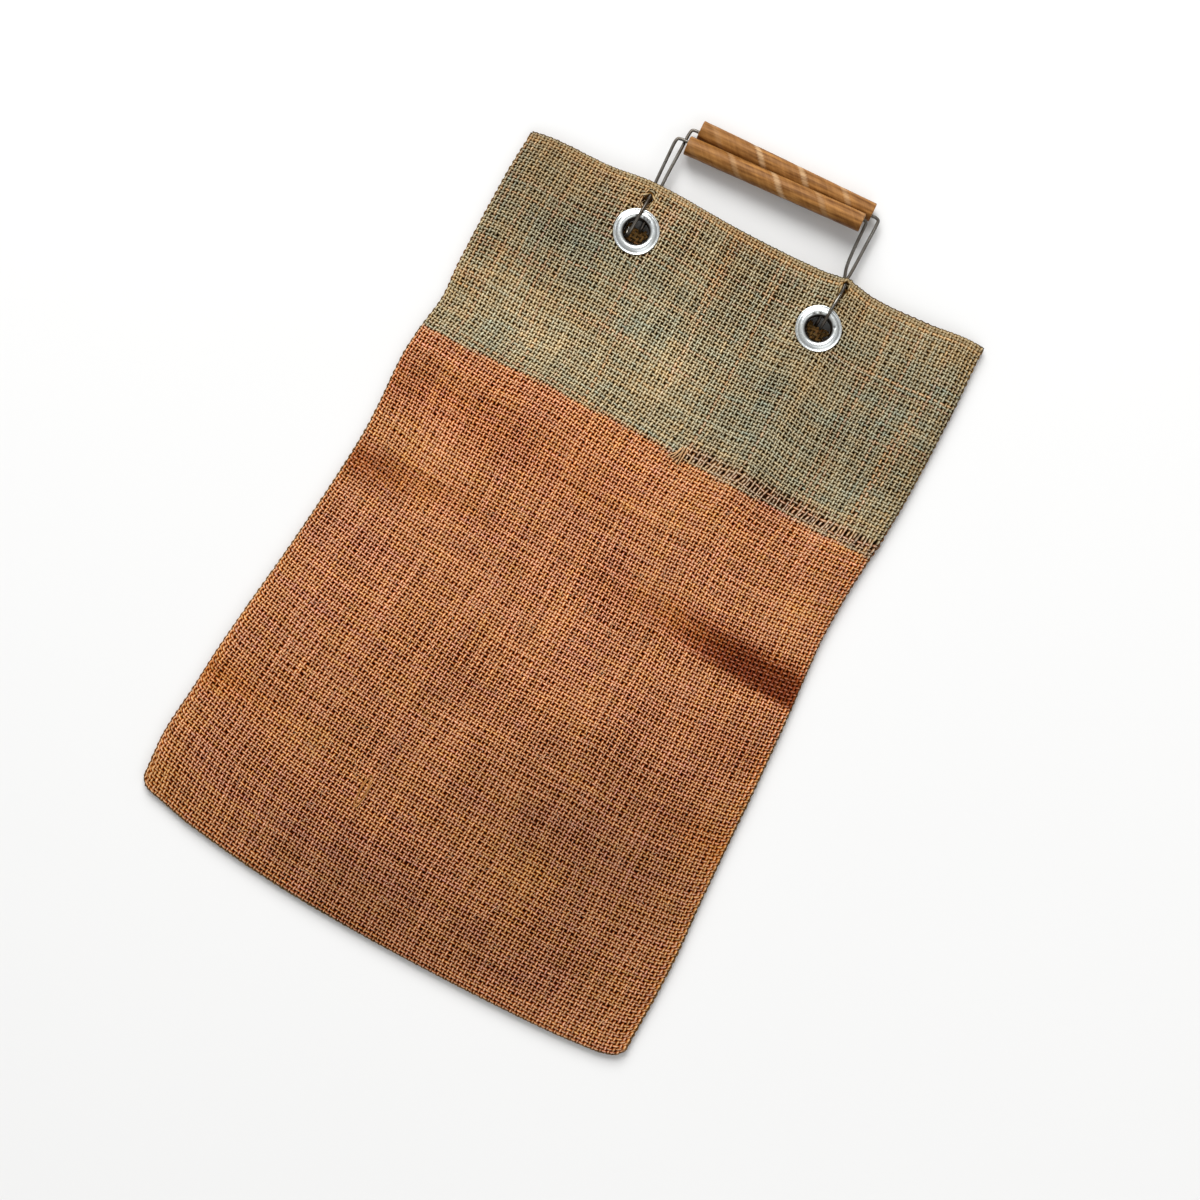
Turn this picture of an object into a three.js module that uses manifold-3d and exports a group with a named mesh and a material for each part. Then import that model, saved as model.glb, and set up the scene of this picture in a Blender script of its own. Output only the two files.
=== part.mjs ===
// Jute handbag lying on its back: two panels of loose plain-weave hessian sewn round three
// sides, two eyelets in each, and two wire handles with spiral-wound grips. Millimetres.
// X runs across the bag, Y from its bottom to its mouth, Z up from the surface it lies on.
import * as THREE from 'three';
import { mergeVertices } from 'three/addons/utils/BufferGeometryUtils.js';
import Module from 'manifold-3d';

const wasm = await Module();
wasm.setup();

// Driving dimensions
const CLOTH = 1.5;             // thickness of one layer of hessian
const GAP = 0.3;               // air between neighbouring pieces
const SEAM_LIFT = 0.8;         // height of the turned seam's lower edge
const SEAM_LIP = 2.0;          // reach of the tight roll at the turned seam
const SEAM_SWELL = 22;         // reach of the soft rise beyond that roll
const LIP_SHARE = 0.35;        // part of the whole rise that the tight roll takes
const DYE_LINE = 68;           // the cloth is sage green above this and orange brown below
const BACK_MOUTH_DROP = 0.8;   // the back panel ends this far short of the front one
const WIRE = 1.8;              // diameter of the handle wire
const EYELET_BORE = 14;        // clear hole of an eyelet
const EYELET_BARREL = 0.8;     // wall of its barrel
const FLANGE = 25;             // diameter of its outer flange
const WASHER = 23;             // diameter of its inner flange
const GRIP = 10.5;             // diameter of a grip
const GRIP_BORE = 6.2;         // diameter of its bore
const GRIP_LENGTH = 102;
const SEAT = 17;               // radius of the flat cloth round an eyelet
const SEAT_FADE = 36;          // radius where that flat has died out
const SEAT_STRETCH = 0.45;     // the flat reaches further towards the mouth, by this scale
const BACK_SEAT = 3.9;         // height of the back panel's lower face at its eyelets
const FRONT_SEAT = 10.4;       // height of the front panel's lower face at its eyelets

// One row for each section across the bag: the outline's left and right edge, and the height
// of the front panel's lower face on the middle line
const SECTIONS = [
  { y: -216, left: -147.4, right: 148.4, crown: 8.0 },
  { y: -190, left: -148.8, right: 149.0, crown: 8.2 },
  { y: -163, left: -146.3, right: 148.4, crown: 8.4 },
  { y: -141, left: -144.7, right: 146.8, crown: 8.5 },
  { y: -109, left: -141.0, right: 145.3, crown: 8.4 },
  { y: -67, left: -135.7, right: 143.6, crown: 8.6 },
  { y: -24, left: -131.4, right: 141.0, crown: 8.8 },
  { y: 2, left: -129.7, right: 138.8, crown: 8.8 },
  { y: 20, left: -129.9, right: 137.8, crown: 9.0 },
  { y: 46, left: -131.0, right: 138.5, crown: 9.3 },
  { y: 64, left: -129.5, right: 140.0, crown: 9.6 },
  { y: 84, left: -126.6, right: 141.5, crown: 9.8 },
  { y: 105, left: -127.6, right: 142.6, crown: 10.0 },
  { y: 160, left: -127.3, right: 142.5, crown: 10.2 },
  { y: 186, left: -125.6, right: 141.2, crown: 9.6 },
];

// The mouth's edge and the bottom's, by share of the width from left to right
const MOUTH = [
  { across: 0, y: 184.4 },
  { across: 0.05, y: 186.2 },
  { across: 0.17, y: 187.0 },
  { across: 0.27, y: 190.0 },
  { across: 0.47, y: 189.3 },
  { across: 0.64, y: 190.6 },
  { across: 0.70, y: 192.8 },
  { across: 0.76, y: 190.6 },
  { across: 0.88, y: 192.3 },
  { across: 0.96, y: 195.2 },
  { across: 1, y: 195.4 },
];
const BOTTOM = [
  { across: 0, y: -216.5 },
  { across: 0.012, y: -220.8 },
  { across: 0.045, y: -223.4 },
  { across: 0.12, y: -228.2 },
  { across: 0.3, y: -234.4 },
  { across: 0.51, y: -236.8 },
  { across: 0.8, y: -236.0 },
  { across: 0.94, y: -233.2 },
  { across: 0.985, y: -230.2 },
  { across: 1, y: -225.5 },
];

// The front panel's soft creases, from one end to the other, with the trough's depth at each.
// A depth below zero is a ridge.
const CREASES = [
  { name: 'main right', x0: 0, y0: -7, depth0: 0.3, x1: 140, y1: -14, depth1: 3.4, width: 10 },
  { name: 'main left', x0: -132, y0: -14, depth0: 2.3, x1: -30, y1: -7, depth1: 0.3, width: 8 },
  { name: 'shoulder left', x0: -131, y0: 36, depth0: 1.6, x1: 10, y1: 33, depth1: 0.7, width: 14 },
  { name: 'ridge under main', x0: 60, y0: -34, depth0: -0.4, x1: 135, y1: -36, depth1: -0.9, width: 12 },
  { name: 'right waist', x0: 80, y0: -52, depth0: 0.2, x1: 144, y1: -57, depth1: 1.3, width: 8 },
  { name: 'right lower', x0: 96, y0: -104, depth0: 0.2, x1: 146, y1: -108, depth1: 1.9, width: 9 },
  { name: 'left lower', x0: -146, y0: -150, depth0: 2.6, x1: -98, y1: -152, depth1: 0.3, width: 9 },
  { name: 'left upper', x0: -127, y0: 88, depth0: 1.7, x1: -104, y1: 90, depth1: 0.2, width: 9 },
  { name: 'left shoulder', x0: -127, y0: 118, depth0: 0.9, x1: -50, y1: 117, depth1: 0.3, width: 7 },
  { name: 'right upper', x0: 118, y0: 122, depth0: 0.2, x1: 143, y1: 124, depth1: 1.8, width: 10 },
];

// Eyelet centres, the same in both panels
const EYELETS = {
  left: { x: -51.4, y: 162.7 },
  right: { x: 58.3, y: 162.6 },
};

// Holes stretched open where a wire pierces a panel
const PIERCED = {
  front: [
    { x: -53.7, y: 181.2, halfWidth: 1.7, halfLength: 4.3 },
    { x: 60.0, y: 186.6, halfWidth: 1.8, halfLength: 4.2 },
  ],
  back: [
    { x: -50.4, y: 182.4, halfWidth: 1.7, halfLength: 4.6 },
    { x: 57.5, y: 182.4, halfWidth: 1.9, halfLength: 4.6 },
  ],
};

// Each handle: the ends of its grip's axis, how far the wire lies off that axis, and the
// wire's bends on either side, from the hook's tip to the corner above the leg
const HANDLES = {
  front: {
    left: [-49.5, 216.5, 8.3],
    right: [52.7, 223.1, 12.7],
    off: [0, 1.7, -0.5],
    leftBends: [
      [-56.0, 163.8, 7.95], [-55.9, 161.2, 7.95], [-55.4, 159.2, 8.7], [-54.9, 158.5, 10.4],
      [-54.5, 160.0, 12.7], [-54.2, 164.0, 14.4], [-54.0, 169.0, 14.9], [-53.8, 174.5, 14.8],
      [-53.7, 178.0, 13.2], [-53.7, 181.2, 11.1], [-53.9, 184.8, 9.3], [-54.5, 189.0, 8.6],
      [-54.9, 194.0, 8.5], [-55.6, 209.0, 8.0], [-55.8, 215.0, 7.85], [-55.2, 217.3, 7.8],
      [-53.6, 217.95, 7.8],
    ],
    rightBends: [
      [59.6, 171.0, 7.95], [59.4, 167.0, 7.95], [59.2, 164.2, 8.8], [59.1, 163.2, 10.6],
      [59.1, 164.2, 12.8], [59.2, 167.4, 14.5], [59.4, 172.0, 14.9], [59.7, 179.0, 14.8],
      [60.0, 183.2, 13.3], [60.1, 186.6, 11.1], [59.6, 190.0, 9.2], [57.8, 194.0, 8.7],
      [56.2, 199.0, 9.2], [54.9, 212.0, 11.2], [54.55, 221.5, 12.0], [54.3, 223.9, 12.2],
      [53.2, 224.75, 12.2],
    ],
  },
  back: {
    left: [-47.0, 227.5, 5.6],
    right: [55.1, 231.5, 5.6],
    off: [0, -1.6, -0.8],
    leftBends: [
      [-50.0, 172.4, 7.88], [-50.0, 168.6, 7.88], [-50.0, 165.6, 6.9], [-50.0, 164.4, 4.7],
      [-50.0, 165.6, 2.2], [-50.0, 169.5, 1.15], [-50.1, 175.5, 1.1], [-50.3, 179.4, 2.3],
      [-50.4, 182.4, 4.6], [-50.7, 185.4, 6.6], [-51.0, 190.5, 7.0], [-51.2, 197.0, 6.8],
      [-51.2, 214.0, 5.5], [-51.2, 223.0, 4.9], [-50.7, 225.1, 4.8], [-49.2, 225.8, 4.8],
    ],
    rightBends: [
      [56.4, 172.4, 7.88], [56.4, 168.6, 7.88], [56.4, 165.6, 6.9], [56.4, 164.4, 4.7],
      [56.4, 165.6, 2.2], [56.5, 169.5, 1.15], [56.7, 175.5, 1.1], [57.0, 179.4, 2.3],
      [57.4, 182.4, 4.6], [58.2, 185.4, 6.3], [59.3, 190.5, 6.6], [59.8, 197.0, 6.4],
      [59.9, 214.0, 5.4], [59.9, 226.8, 4.9], [59.5, 229.3, 4.8], [57.9, 230.0, 4.8],
    ],
  },
};

// Fineness of the meshes
const MARGIN_STEPS = [0, 1.5, 4.5, 12];      // columns and rows beside a sewn edge
const SEAT_STEPS = [-SEAT_FADE, -31, -24, -13, -6.5, 0, 6.5, 13, 24, 31, SEAT_FADE];
const WIDEST_CELL = { front: [22, 10.5], back: [40, 40] };
const WIRE_SIDES = 8;
const STEPS_PER_BEND = 2.4;
const ROUND_SIDES = 20;
const HOLE_SIDES = 24;

const MATERIALS = {
  orange: new THREE.MeshStandardMaterial({ color: 0xa0694a, roughness: 0.95, metalness: 0 }),
  sage: new THREE.MeshStandardMaterial({ color: 0x897c60, roughness: 0.95, metalness: 0 }),
  nickel: new THREE.MeshStandardMaterial({ color: 0xc9cac4, roughness: 0.3, metalness: 1 }),
  steel: new THREE.MeshStandardMaterial({ color: 0x6f6a62, roughness: 0.4, metalness: 1 }),
  grip: new THREE.MeshStandardMaterial({ color: 0xa5713c, roughness: 0.6, metalness: 0 }),
};

// Value of one column of a table at a place along another, on a smooth curve through the rows
function readTable(table, along, place, column) {
  const last = table.length - 1;
  let i = 0;
  while (i < last - 1 && place > table[i + 1][along]) i += 1;
  const slope = (k) => {
    const low = table[Math.max(k - 1, 0)];
    const high = table[Math.min(k + 1, last)];
    return (high[column] - low[column]) / (high[along] - low[along]);
  };
  const span = table[i + 1][along] - table[i][along];
  const t = Math.min(Math.max((place - table[i][along]) / span, 0), 1);
  const t2 = t * t;
  const t3 = t2 * t;
  return (2 * t3 - 3 * t2 + 1) * table[i][column] + (t3 - 2 * t2 + t) * span * slope(i)
    + (3 * t2 - 2 * t3) * table[i + 1][column] + (t3 - t2) * span * slope(i + 1);
}

// Outline point of a sheet at a share of the width and of the length
function outlinePoint(across, along, mouthDrop) {
  const bottom = readTable(BOTTOM, 'across', across, 'y');
  const mouth = readTable(MOUTH, 'across', across, 'y') - mouthDrop;
  const y = bottom + along * (mouth - bottom);
  const left = readTable(SECTIONS, 'y', y, 'left');
  const right = readTable(SECTIONS, 'y', y, 'right');
  return {
    x: left + across * (right - left),
    y,
    side: Math.min(across, 1 - across) * (right - left),
    fromBottom: along * (mouth - bottom),
  };
}

// Share of full height at a distance from a sewn edge
function rise(distance) {
  const lip = 1 - Math.exp(-distance / SEAM_LIP);
  const swell = 1 - Math.exp(-distance / SEAM_SWELL);
  return LIP_SHARE * lip + (1 - LIP_SHARE) * swell;
}

function creaseDepth(x, y) {
  let depth = 0;
  for (const crease of CREASES) {
    const dx = crease.x1 - crease.x0;
    const dy = crease.y1 - crease.y0;
    const share = ((x - crease.x0) * dx + (y - crease.y0) * dy) / (dx * dx + dy * dy);
    const t = Math.min(Math.max(share, 0), 1);
    const off = Math.hypot(x - crease.x0 - t * dx, y - crease.y0 - t * dy) / crease.width;
    depth += (crease.depth0 + t * (crease.depth1 - crease.depth0)) * Math.exp(-off * off);
  }
  return depth;
}

// 1 on the flat round an eyelet, dying out to 0
function seatShare(x, y) {
  let share = 0;
  for (const eyelet of Object.values(EYELETS)) {
    const dy = y - eyelet.y;
    const off = Math.hypot(x - eyelet.x, dy > 0 ? dy * SEAT_STRETCH : dy);
    share = Math.max(share, 1 - THREE.MathUtils.smoothstep(off, SEAT, SEAT_FADE));
  }
  return share;
}

// Height of the lower face of either panel
function backHeight(point) {
  const seam = Math.exp(-Math.min(point.side, point.fromBottom) / SEAM_LIP);
  return SEAM_LIFT * seam + BACK_SEAT * seatShare(point.x, point.y);
}

function frontHeight(point) {
  const rim = SEAM_LIFT + CLOTH + GAP;
  const crown = readTable(SECTIONS, 'y', point.y, 'crown') - rim;
  const closed = rise(point.side) * rise(point.fromBottom);
  const free = rim + crown * closed - creaseDepth(point.x, point.y) * closed;
  const seat = seatShare(point.x, point.y);
  return free + seat * (FRONT_SEAT - free);
}

// Sorted places from a set of marks, with gaps wider than the widest cell shared out
function stations(marks, widest) {
  const sorted = [...marks].sort((a, b) => a - b);
  const out = [sorted[0]];
  for (let i = 1; i < sorted.length; i += 1) {
    const gap = sorted[i] - sorted[i - 1];
    const parts = Math.max(1, Math.ceil(gap / widest));
    for (let k = 1; k <= parts; k += 1) out.push(sorted[i - 1] + (gap * k) / parts);
  }
  return out;
}

function columnShares(widest) {
  const { left, right } = SECTIONS[SECTIONS.length - 2];
  const marks = MARGIN_STEPS.flatMap((step) => [left + step, right - step]);
  for (const eyelet of Object.values(EYELETS)) {
    marks.push(...SEAT_STEPS.map((step) => eyelet.x + step));
  }
  return stations(marks, widest).map((x) => (x - left) / (right - left));
}

function rowShares(widest) {
  const bottom = BOTTOM[5].y;
  const mouth = MOUTH[4].y;
  const marks = MARGIN_STEPS.map((step) => bottom + step);
  marks.push(mouth, ...SEAT_STEPS.map((step) => EYELETS.left.y + step));
  const inside = marks.filter((y) => y <= mouth);
  return stations(inside, widest).map((y) => (y - bottom) / (mouth - bottom));
}

// A closed sheet: its upper and lower face on one grid, and a wall round the rim
function sheetGeometry(heightAt, [widestColumn, widestRow], mouthDrop) {
  const columns = columnShares(widestColumn);
  const rows = rowShares(widestRow);
  const wide = columns.length;
  const positions = [];
  for (const layer of [CLOTH, 0]) {
    for (const along of rows) {
      for (const across of columns) {
        const point = outlinePoint(across, along, mouthDrop);
        positions.push(point.x, point.y, heightAt(point) + layer);
      }
    }
  }
  const under = wide * rows.length;
  const index = [];
  const quad = (a, b, c, d) => index.push(a, b, c, a, c, d);
  for (let j = 0; j < rows.length - 1; j += 1) {
    for (let i = 0; i < wide - 1; i += 1) {
      const a = j * wide + i;
      quad(a, a + 1, a + wide + 1, a + wide);
      quad(under + a, under + a + wide, under + a + wide + 1, under + a + 1);
    }
  }
  const rim = [];
  const top = (rows.length - 1) * wide;
  for (let i = 0; i < wide - 1; i += 1) rim.push(i);
  for (let j = 0; j < rows.length - 1; j += 1) rim.push(j * wide + wide - 1);
  for (let i = wide - 1; i > 0; i -= 1) rim.push(top + i);
  for (let j = rows.length - 1; j > 0; j -= 1) rim.push(j * wide);
  rim.forEach((a, k) => {
    const b = rim[(k + 1) % rim.length];
    quad(under + a, under + b, b, a);
  });
  const geometry = new THREE.BufferGeometry();
  geometry.setAttribute('position', new THREE.Float32BufferAttribute(positions, 3));
  geometry.setIndex(index);
  return geometry;
}

function toSolid(geometry) {
  const bare = geometry.clone();
  bare.deleteAttribute('normal');
  bare.deleteAttribute('uv');
  const merged = mergeVertices(bare, 1e-5);
  return new wasm.Manifold(new wasm.Mesh({
    numProp: 3,
    vertProperties: new Float32Array(merged.attributes.position.array),
    triVerts: new Uint32Array(merged.index.array),
  }));
}

function toGeometry(solid) {
  const mesh = solid.getMesh();
  const geometry = new THREE.BufferGeometry();
  geometry.setAttribute('position', new THREE.Float32BufferAttribute(mesh.vertProperties, 3));
  geometry.setIndex([...mesh.triVerts]);
  geometry.computeVertexNormals();
  return geometry;
}

// An upright oval post that cuts one hole through the cloth
function punch({ x, y, halfWidth, halfLength }) {
  const post = new THREE.CylinderGeometry(1, 1, 60, HOLE_SIDES);
  post.rotateX(Math.PI / 2);
  post.scale(halfWidth, halfLength, 1);
  post.translate(x, y, 0);
  return toSolid(post);
}

// One panel, in two nodes that part at the dye line
function panel(side, heightAt, cells, mouthDrop, pierced) {
  let solid = toSolid(sheetGeometry(heightAt, cells, mouthDrop));
  const barrelHole = EYELET_BORE / 2 + EYELET_BARREL + GAP;
  for (const eyelet of Object.values(EYELETS)) {
    const round = { ...eyelet, halfWidth: barrelHole, halfLength: barrelHole };
    solid = solid.subtract(punch(round));
  }
  for (const hole of pierced) solid = solid.subtract(punch(hole));
  const body = solid.trimByPlane([0, -1, 0], GAP / 2 - DYE_LINE);
  const top = solid.trimByPlane([0, 1, 0], GAP / 2 + DYE_LINE);
  const bodyMesh = new THREE.Mesh(toGeometry(body), MATERIALS.orange);
  bodyMesh.name = `${side}_body`;
  const topMesh = new THREE.Mesh(toGeometry(top), MATERIALS.sage);
  topMesh.name = `${side}_top`;
  return [bodyMesh, topMesh];
}

// An eyelet turned about its own axis, with the outer flange on its +Y side
function eyeletGeometry() {
  const bore = EYELET_BORE / 2;
  const barrel = bore + EYELET_BARREL;
  const face = CLOTH / 2 + GAP;
  const profile = [
    [bore, -face - 0.5], [bore + 1.4, -face - 1], [WASHER / 2, -face - 0.5], [WASHER / 2, -face],
    [barrel, -face], [barrel, face], [FLANGE / 2 - 0.3, face], [FLANGE / 2, face + 0.3],
    [FLANGE / 2 - 1, face + 0.9], [bore + 2.6, face + 1.3], [barrel, face + 1.1],
    [bore, face + 0.5], [bore, -face - 0.5],
  ];
  return new THREE.LatheGeometry(profile.map(([r, y]) => new THREE.Vector2(r, y)), ROUND_SIDES);
}

function eyelet(name, { x, y }, seat, outward) {
  const mesh = new THREE.Mesh(eyeletGeometry(), MATERIALS.nickel);
  mesh.name = name;
  mesh.rotation.x = outward * Math.PI / 2;
  mesh.position.set(x, y, seat + CLOTH / 2);
  return mesh;
}

// A wire's path: its steps are shared out by bend, so a tight hook gets short ones
class WirePath extends THREE.CatmullRomCurve3 {
  getPointAt(t, target) {
    return this.getPoint(t, target);
  }

  getTangentAt(t, target) {
    return this.getTangent(t, target);
  }
}

function bail(name, handle) {
  const off = new THREE.Vector3(...handle.off);
  const left = new THREE.Vector3(...handle.left).add(off);
  const right = new THREE.Vector3(...handle.right).add(off);
  const run = [0, 0.05, 0.35, 0.65, 0.95, 1].map((t) => left.clone().lerp(right, t));
  const leftSide = handle.leftBends.map((p) => new THREE.Vector3(...p));
  const rightSide = handle.rightBends.map((p) => new THREE.Vector3(...p)).reverse();
  const points = [...leftSide, ...run, ...rightSide];
  const path = new WirePath(points, false, 'centripetal');
  const corners = Array.from({ length: WIRE_SIDES }, (_, k) => {
    const angle = (2 * Math.PI * k) / WIRE_SIDES;
    return new THREE.Vector2(Math.cos(angle), Math.sin(angle)).multiplyScalar(WIRE / 2);
  });
  const geometry = new THREE.ExtrudeGeometry(new THREE.Shape(corners), {
    steps: Math.round(points.length * STEPS_PER_BEND),
    extrudePath: path,
    curveSegments: 1,
  });
  const mesh = new THREE.Mesh(geometry, MATERIALS.steel);
  mesh.name = name;
  return mesh;
}

function grip(name, handle) {
  const half = GRIP_LENGTH / 2;
  const profile = [
    [GRIP_BORE / 2, -half], [GRIP / 2 - 0.4, -half], [GRIP / 2, -half + 0.4],
    [GRIP / 2, half - 0.4], [GRIP / 2 - 0.4, half], [GRIP_BORE / 2, half],
    [GRIP_BORE / 2, -half],
  ].map(([r, y]) => new THREE.Vector2(r, y));
  const left = new THREE.Vector3(...handle.left);
  const right = new THREE.Vector3(...handle.right);
  const mesh = new THREE.Mesh(new THREE.LatheGeometry(profile, ROUND_SIDES), MATERIALS.grip);
  mesh.name = name;
  mesh.position.copy(left).add(right).multiplyScalar(0.5);
  const axis = right.clone().sub(left).normalize();
  mesh.quaternion.setFromUnitVectors(new THREE.Vector3(0, 1, 0), axis);
  return mesh;
}

const bag = new THREE.Group();
bag.add(...panel('front', frontHeight, WIDEST_CELL.front, 0, PIERCED.front));
bag.add(...panel('back', backHeight, WIDEST_CELL.back, BACK_MOUTH_DROP, PIERCED.back));
for (const [side, place] of Object.entries(EYELETS)) {
  bag.add(eyelet(`front_eyelet_${side}`, place, FRONT_SEAT, 1));
  bag.add(eyelet(`back_eyelet_${side}`, place, BACK_SEAT, -1));
}
for (const [side, handle] of Object.entries(HANDLES)) {
  bag.add(bail(`${side}_bail`, handle));
  bag.add(grip(`${side}_grip`, handle));
}

export default bag;
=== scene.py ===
"""A jute handbag with wire handles, lying on its back.

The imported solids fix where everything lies. Over them the cloth is woven again thread by
thread, and the eyelets, wires and grips are made in finer form. Sizes are in millimetres
until a mesh is made, and in metres from there on. X runs across the bag, Y from its bottom
to its mouth, and Z up from the surface that it lies on.
"""
import logging
import math
from dataclasses import dataclass, field
from enum import Enum
from typing import NamedTuple

import bpy
import numpy as np
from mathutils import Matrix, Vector


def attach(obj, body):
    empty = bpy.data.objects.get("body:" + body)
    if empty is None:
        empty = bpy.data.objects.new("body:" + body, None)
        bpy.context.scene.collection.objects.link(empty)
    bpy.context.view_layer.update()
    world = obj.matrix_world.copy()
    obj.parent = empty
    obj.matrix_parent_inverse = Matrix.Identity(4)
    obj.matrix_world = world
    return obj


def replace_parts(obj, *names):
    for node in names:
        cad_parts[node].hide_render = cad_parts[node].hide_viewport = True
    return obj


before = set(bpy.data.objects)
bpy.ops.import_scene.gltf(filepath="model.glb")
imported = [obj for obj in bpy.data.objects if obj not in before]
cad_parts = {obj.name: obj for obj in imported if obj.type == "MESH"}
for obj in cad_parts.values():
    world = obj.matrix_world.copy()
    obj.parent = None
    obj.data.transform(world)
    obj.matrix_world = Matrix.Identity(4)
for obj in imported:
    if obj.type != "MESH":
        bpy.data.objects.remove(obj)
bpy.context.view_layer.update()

LOG = logging.getLogger("handbag")
MM = 0.001
UV_LAYER = "OFBake"
Colour = tuple[float, float, float]
Point = tuple[float, float, float]


class Face(Enum):
    """The two panels, by the way that each faces."""

    FRONT = 1
    BACK = -1


class Run(Enum):
    """The two ways that threads run, as the axis of the weave's lattice that they follow."""

    LENGTHWISE = 1
    CROSSWISE = 0


class Section(NamedTuple):
    """One section across the bag: its edges, and the front's height on the middle line."""

    y: float
    left: float
    right: float
    crown: float


class EdgeMark(NamedTuple):
    """One point of the mouth's or the bottom's edge, by share of the width from the left."""

    across: float
    y: float


class Crease(NamedTuple):
    """A soft trough in the front panel from one end to the other. Below zero is a ridge."""

    x0: float
    y0: float
    depth0: float
    x1: float
    y1: float
    depth1: float
    width: float


class Slit(NamedTuple):
    """A hole stretched open where a wire pierces a panel."""

    x: float
    y: float
    half_width: float
    half_length: float


class Patch(NamedTuple):
    """A place where the cloth differs: its middle, its reach both ways, and by how much."""

    x: float
    y: float
    reach_x: float
    reach_y: float
    amount: float


def table(kind: type, *rows: tuple[float, ...]) -> tuple:
    """A table whose rows are all of one kind."""
    return tuple(kind(*row) for row in rows)


SECTIONS = table(
    Section,
    (-216, -147.4, 148.4, 8.0), (-190, -148.8, 149.0, 8.2), (-163, -146.3, 148.4, 8.4),
    (-141, -144.7, 146.8, 8.5), (-109, -141.0, 145.3, 8.4), (-67, -135.7, 143.6, 8.6),
    (-24, -131.4, 141.0, 8.8), (2, -129.7, 138.8, 8.8), (20, -129.9, 137.8, 9.0),
    (46, -131.0, 138.5, 9.3), (64, -129.5, 140.0, 9.6), (84, -126.6, 141.5, 9.8),
    (105, -127.6, 142.6, 10.0), (160, -127.3, 142.5, 10.2), (186, -125.6, 141.2, 9.6),
)
MOUTH = table(
    EdgeMark,
    (0, 184.4), (0.05, 186.2), (0.17, 187.0), (0.27, 190.0),
    (0.47, 189.3), (0.64, 190.6), (0.70, 192.8), (0.76, 190.6),
    (0.88, 192.3), (0.96, 195.2), (1, 195.4),
)
BOTTOM = table(
    EdgeMark,
    (0, -216.5), (0.012, -220.8), (0.045, -223.4), (0.12, -228.2),
    (0.3, -234.4), (0.51, -236.8), (0.8, -236.0), (0.94, -233.2),
    (0.985, -230.2), (1, -225.5),
)
CREASES = table(
    Crease,
    (0, -7, 0.3, 140, -14, 3.4, 10), (-132, -14, 2.3, -30, -7, 0.3, 8),
    (-131, 36, 1.6, 10, 33, 0.7, 14), (60, -34, -0.4, 135, -36, -0.9, 12),
    (80, -52, 0.2, 144, -57, 1.3, 8), (96, -104, 0.2, 146, -108, 1.9, 9),
    (-146, -150, 2.6, -98, -152, 0.3, 9), (-127, 88, 1.7, -104, 90, 0.2, 9),
    (-127, 118, 0.9, -50, 117, 0.3, 7), (118, 122, 0.2, 143, 124, 1.8, 10),
)
# The middles of the eyelets, in the plan of the bag.
EYELETS = {"left": (-51.4, 162.7), "right": (58.3, 162.6)}
# Where the wires pierce each panel.
SLITS = {
    Face.FRONT: (Slit(-53.9, 180.4, 2.2, 4.5), Slit(60.6, 187.0, 2.0, 4.1)),
    Face.BACK: (Slit(-50.4, 182.4, 1.7, 4.6), Slit(57.5, 182.4, 1.9, 4.6)),
}
# Above zero a stain is ochre. Below zero the orange turns pink, and the green grey.
STAINS = table(
    Patch,
    (-103, -56, 22, 16, -0.7), (-106, -88, 16, 12, -0.6), (-106, -120, 18, 12, -0.6),
    (-18, -117, 20, 12, -0.6), (62, -120, 16, 12, -0.5), (59, -56, 18, 12, -0.6),
    (22, -67, 12, 12, -0.5), (102, -77, 16, 10, -0.7), (115, -147, 16, 10, -0.5),
    (-39, -208, 20, 12, -0.8), (-2, -210, 18, 12, -0.8), (-122, -194, 14, 14, -0.6),
    (-74, -194, 14, 12, -0.5), (88, -213, 22, 12, -0.7), (-50, 58, 16, 8, -0.6),
    (-40, -170, 4, 9, 1.3), (-71, -152, 22, 14, 0.8), (62, -162, 26, 16, 0.8),
    (62, -189, 20, 10, 0.5), (118, -194, 16, 12, 0.6), (35, -85, 16, 10, 0.6),
    (-37, -104, 16, 10, 0.5), (-23, 58, 18, 8, 0.7), (67, 50, 20, 10, 0.6),
    (115, -35, 16, 10, 0.5), (-143, -160, 6, 50, 0.9), (-140, -215, 18, 12, 0.9),
    (147, -120, 6, 70, 0.7), (-103, 179, 24, 9, 0.9), (-98, 166, 30, 20, 0.5),
    (-108, 163, 12, 10, 0.5), (-112, 128, 10, 12, 0.6), (-59, 183, 16, 8, 1.3),
    (-16, 182, 14, 8, 0.7), (69, 182, 14, 8, 0.8), (-73, 107, 16, 10, 0.8),
    (67, 127, 5, 20, 0.9), (-121, 103, 9, 10, 0.7), (138, 184, 12, 10, 0.8),
    (-78, 146, 18, 14, -0.9), (-27, 119, 20, 12, -0.9), (51, 119, 10, 12, -0.8),
    (84, 123, 14, 12, -0.8), (113, 134, 14, 14, -0.8), (58, 95, 26, 9, -0.9),
    (115, 92, 18, 12, -1.2), (131, 164, 9, 14, -1.0), (-93, 78, 14, 9, -0.9),
    (84, 73, 62, 4, -0.7),
)
# Where more of the green threads are rusty.
RUSTY = table(
    Patch,
    (-85, 183, 42, 8, 1.5), (-120, 100, 9, 15, 1.6), (-72, 160, 9, 13, 1.1),
    (-36, 176, 12, 8, 0.9), (-4, 184, 24, 6, 1.3), (34, 183, 16, 6, 0.9),
    (-43, 115, 9, 9, 0.8), (7, 107, 7, 11, 0.8), (104, 181, 24, 6, 0.8),
)
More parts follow.
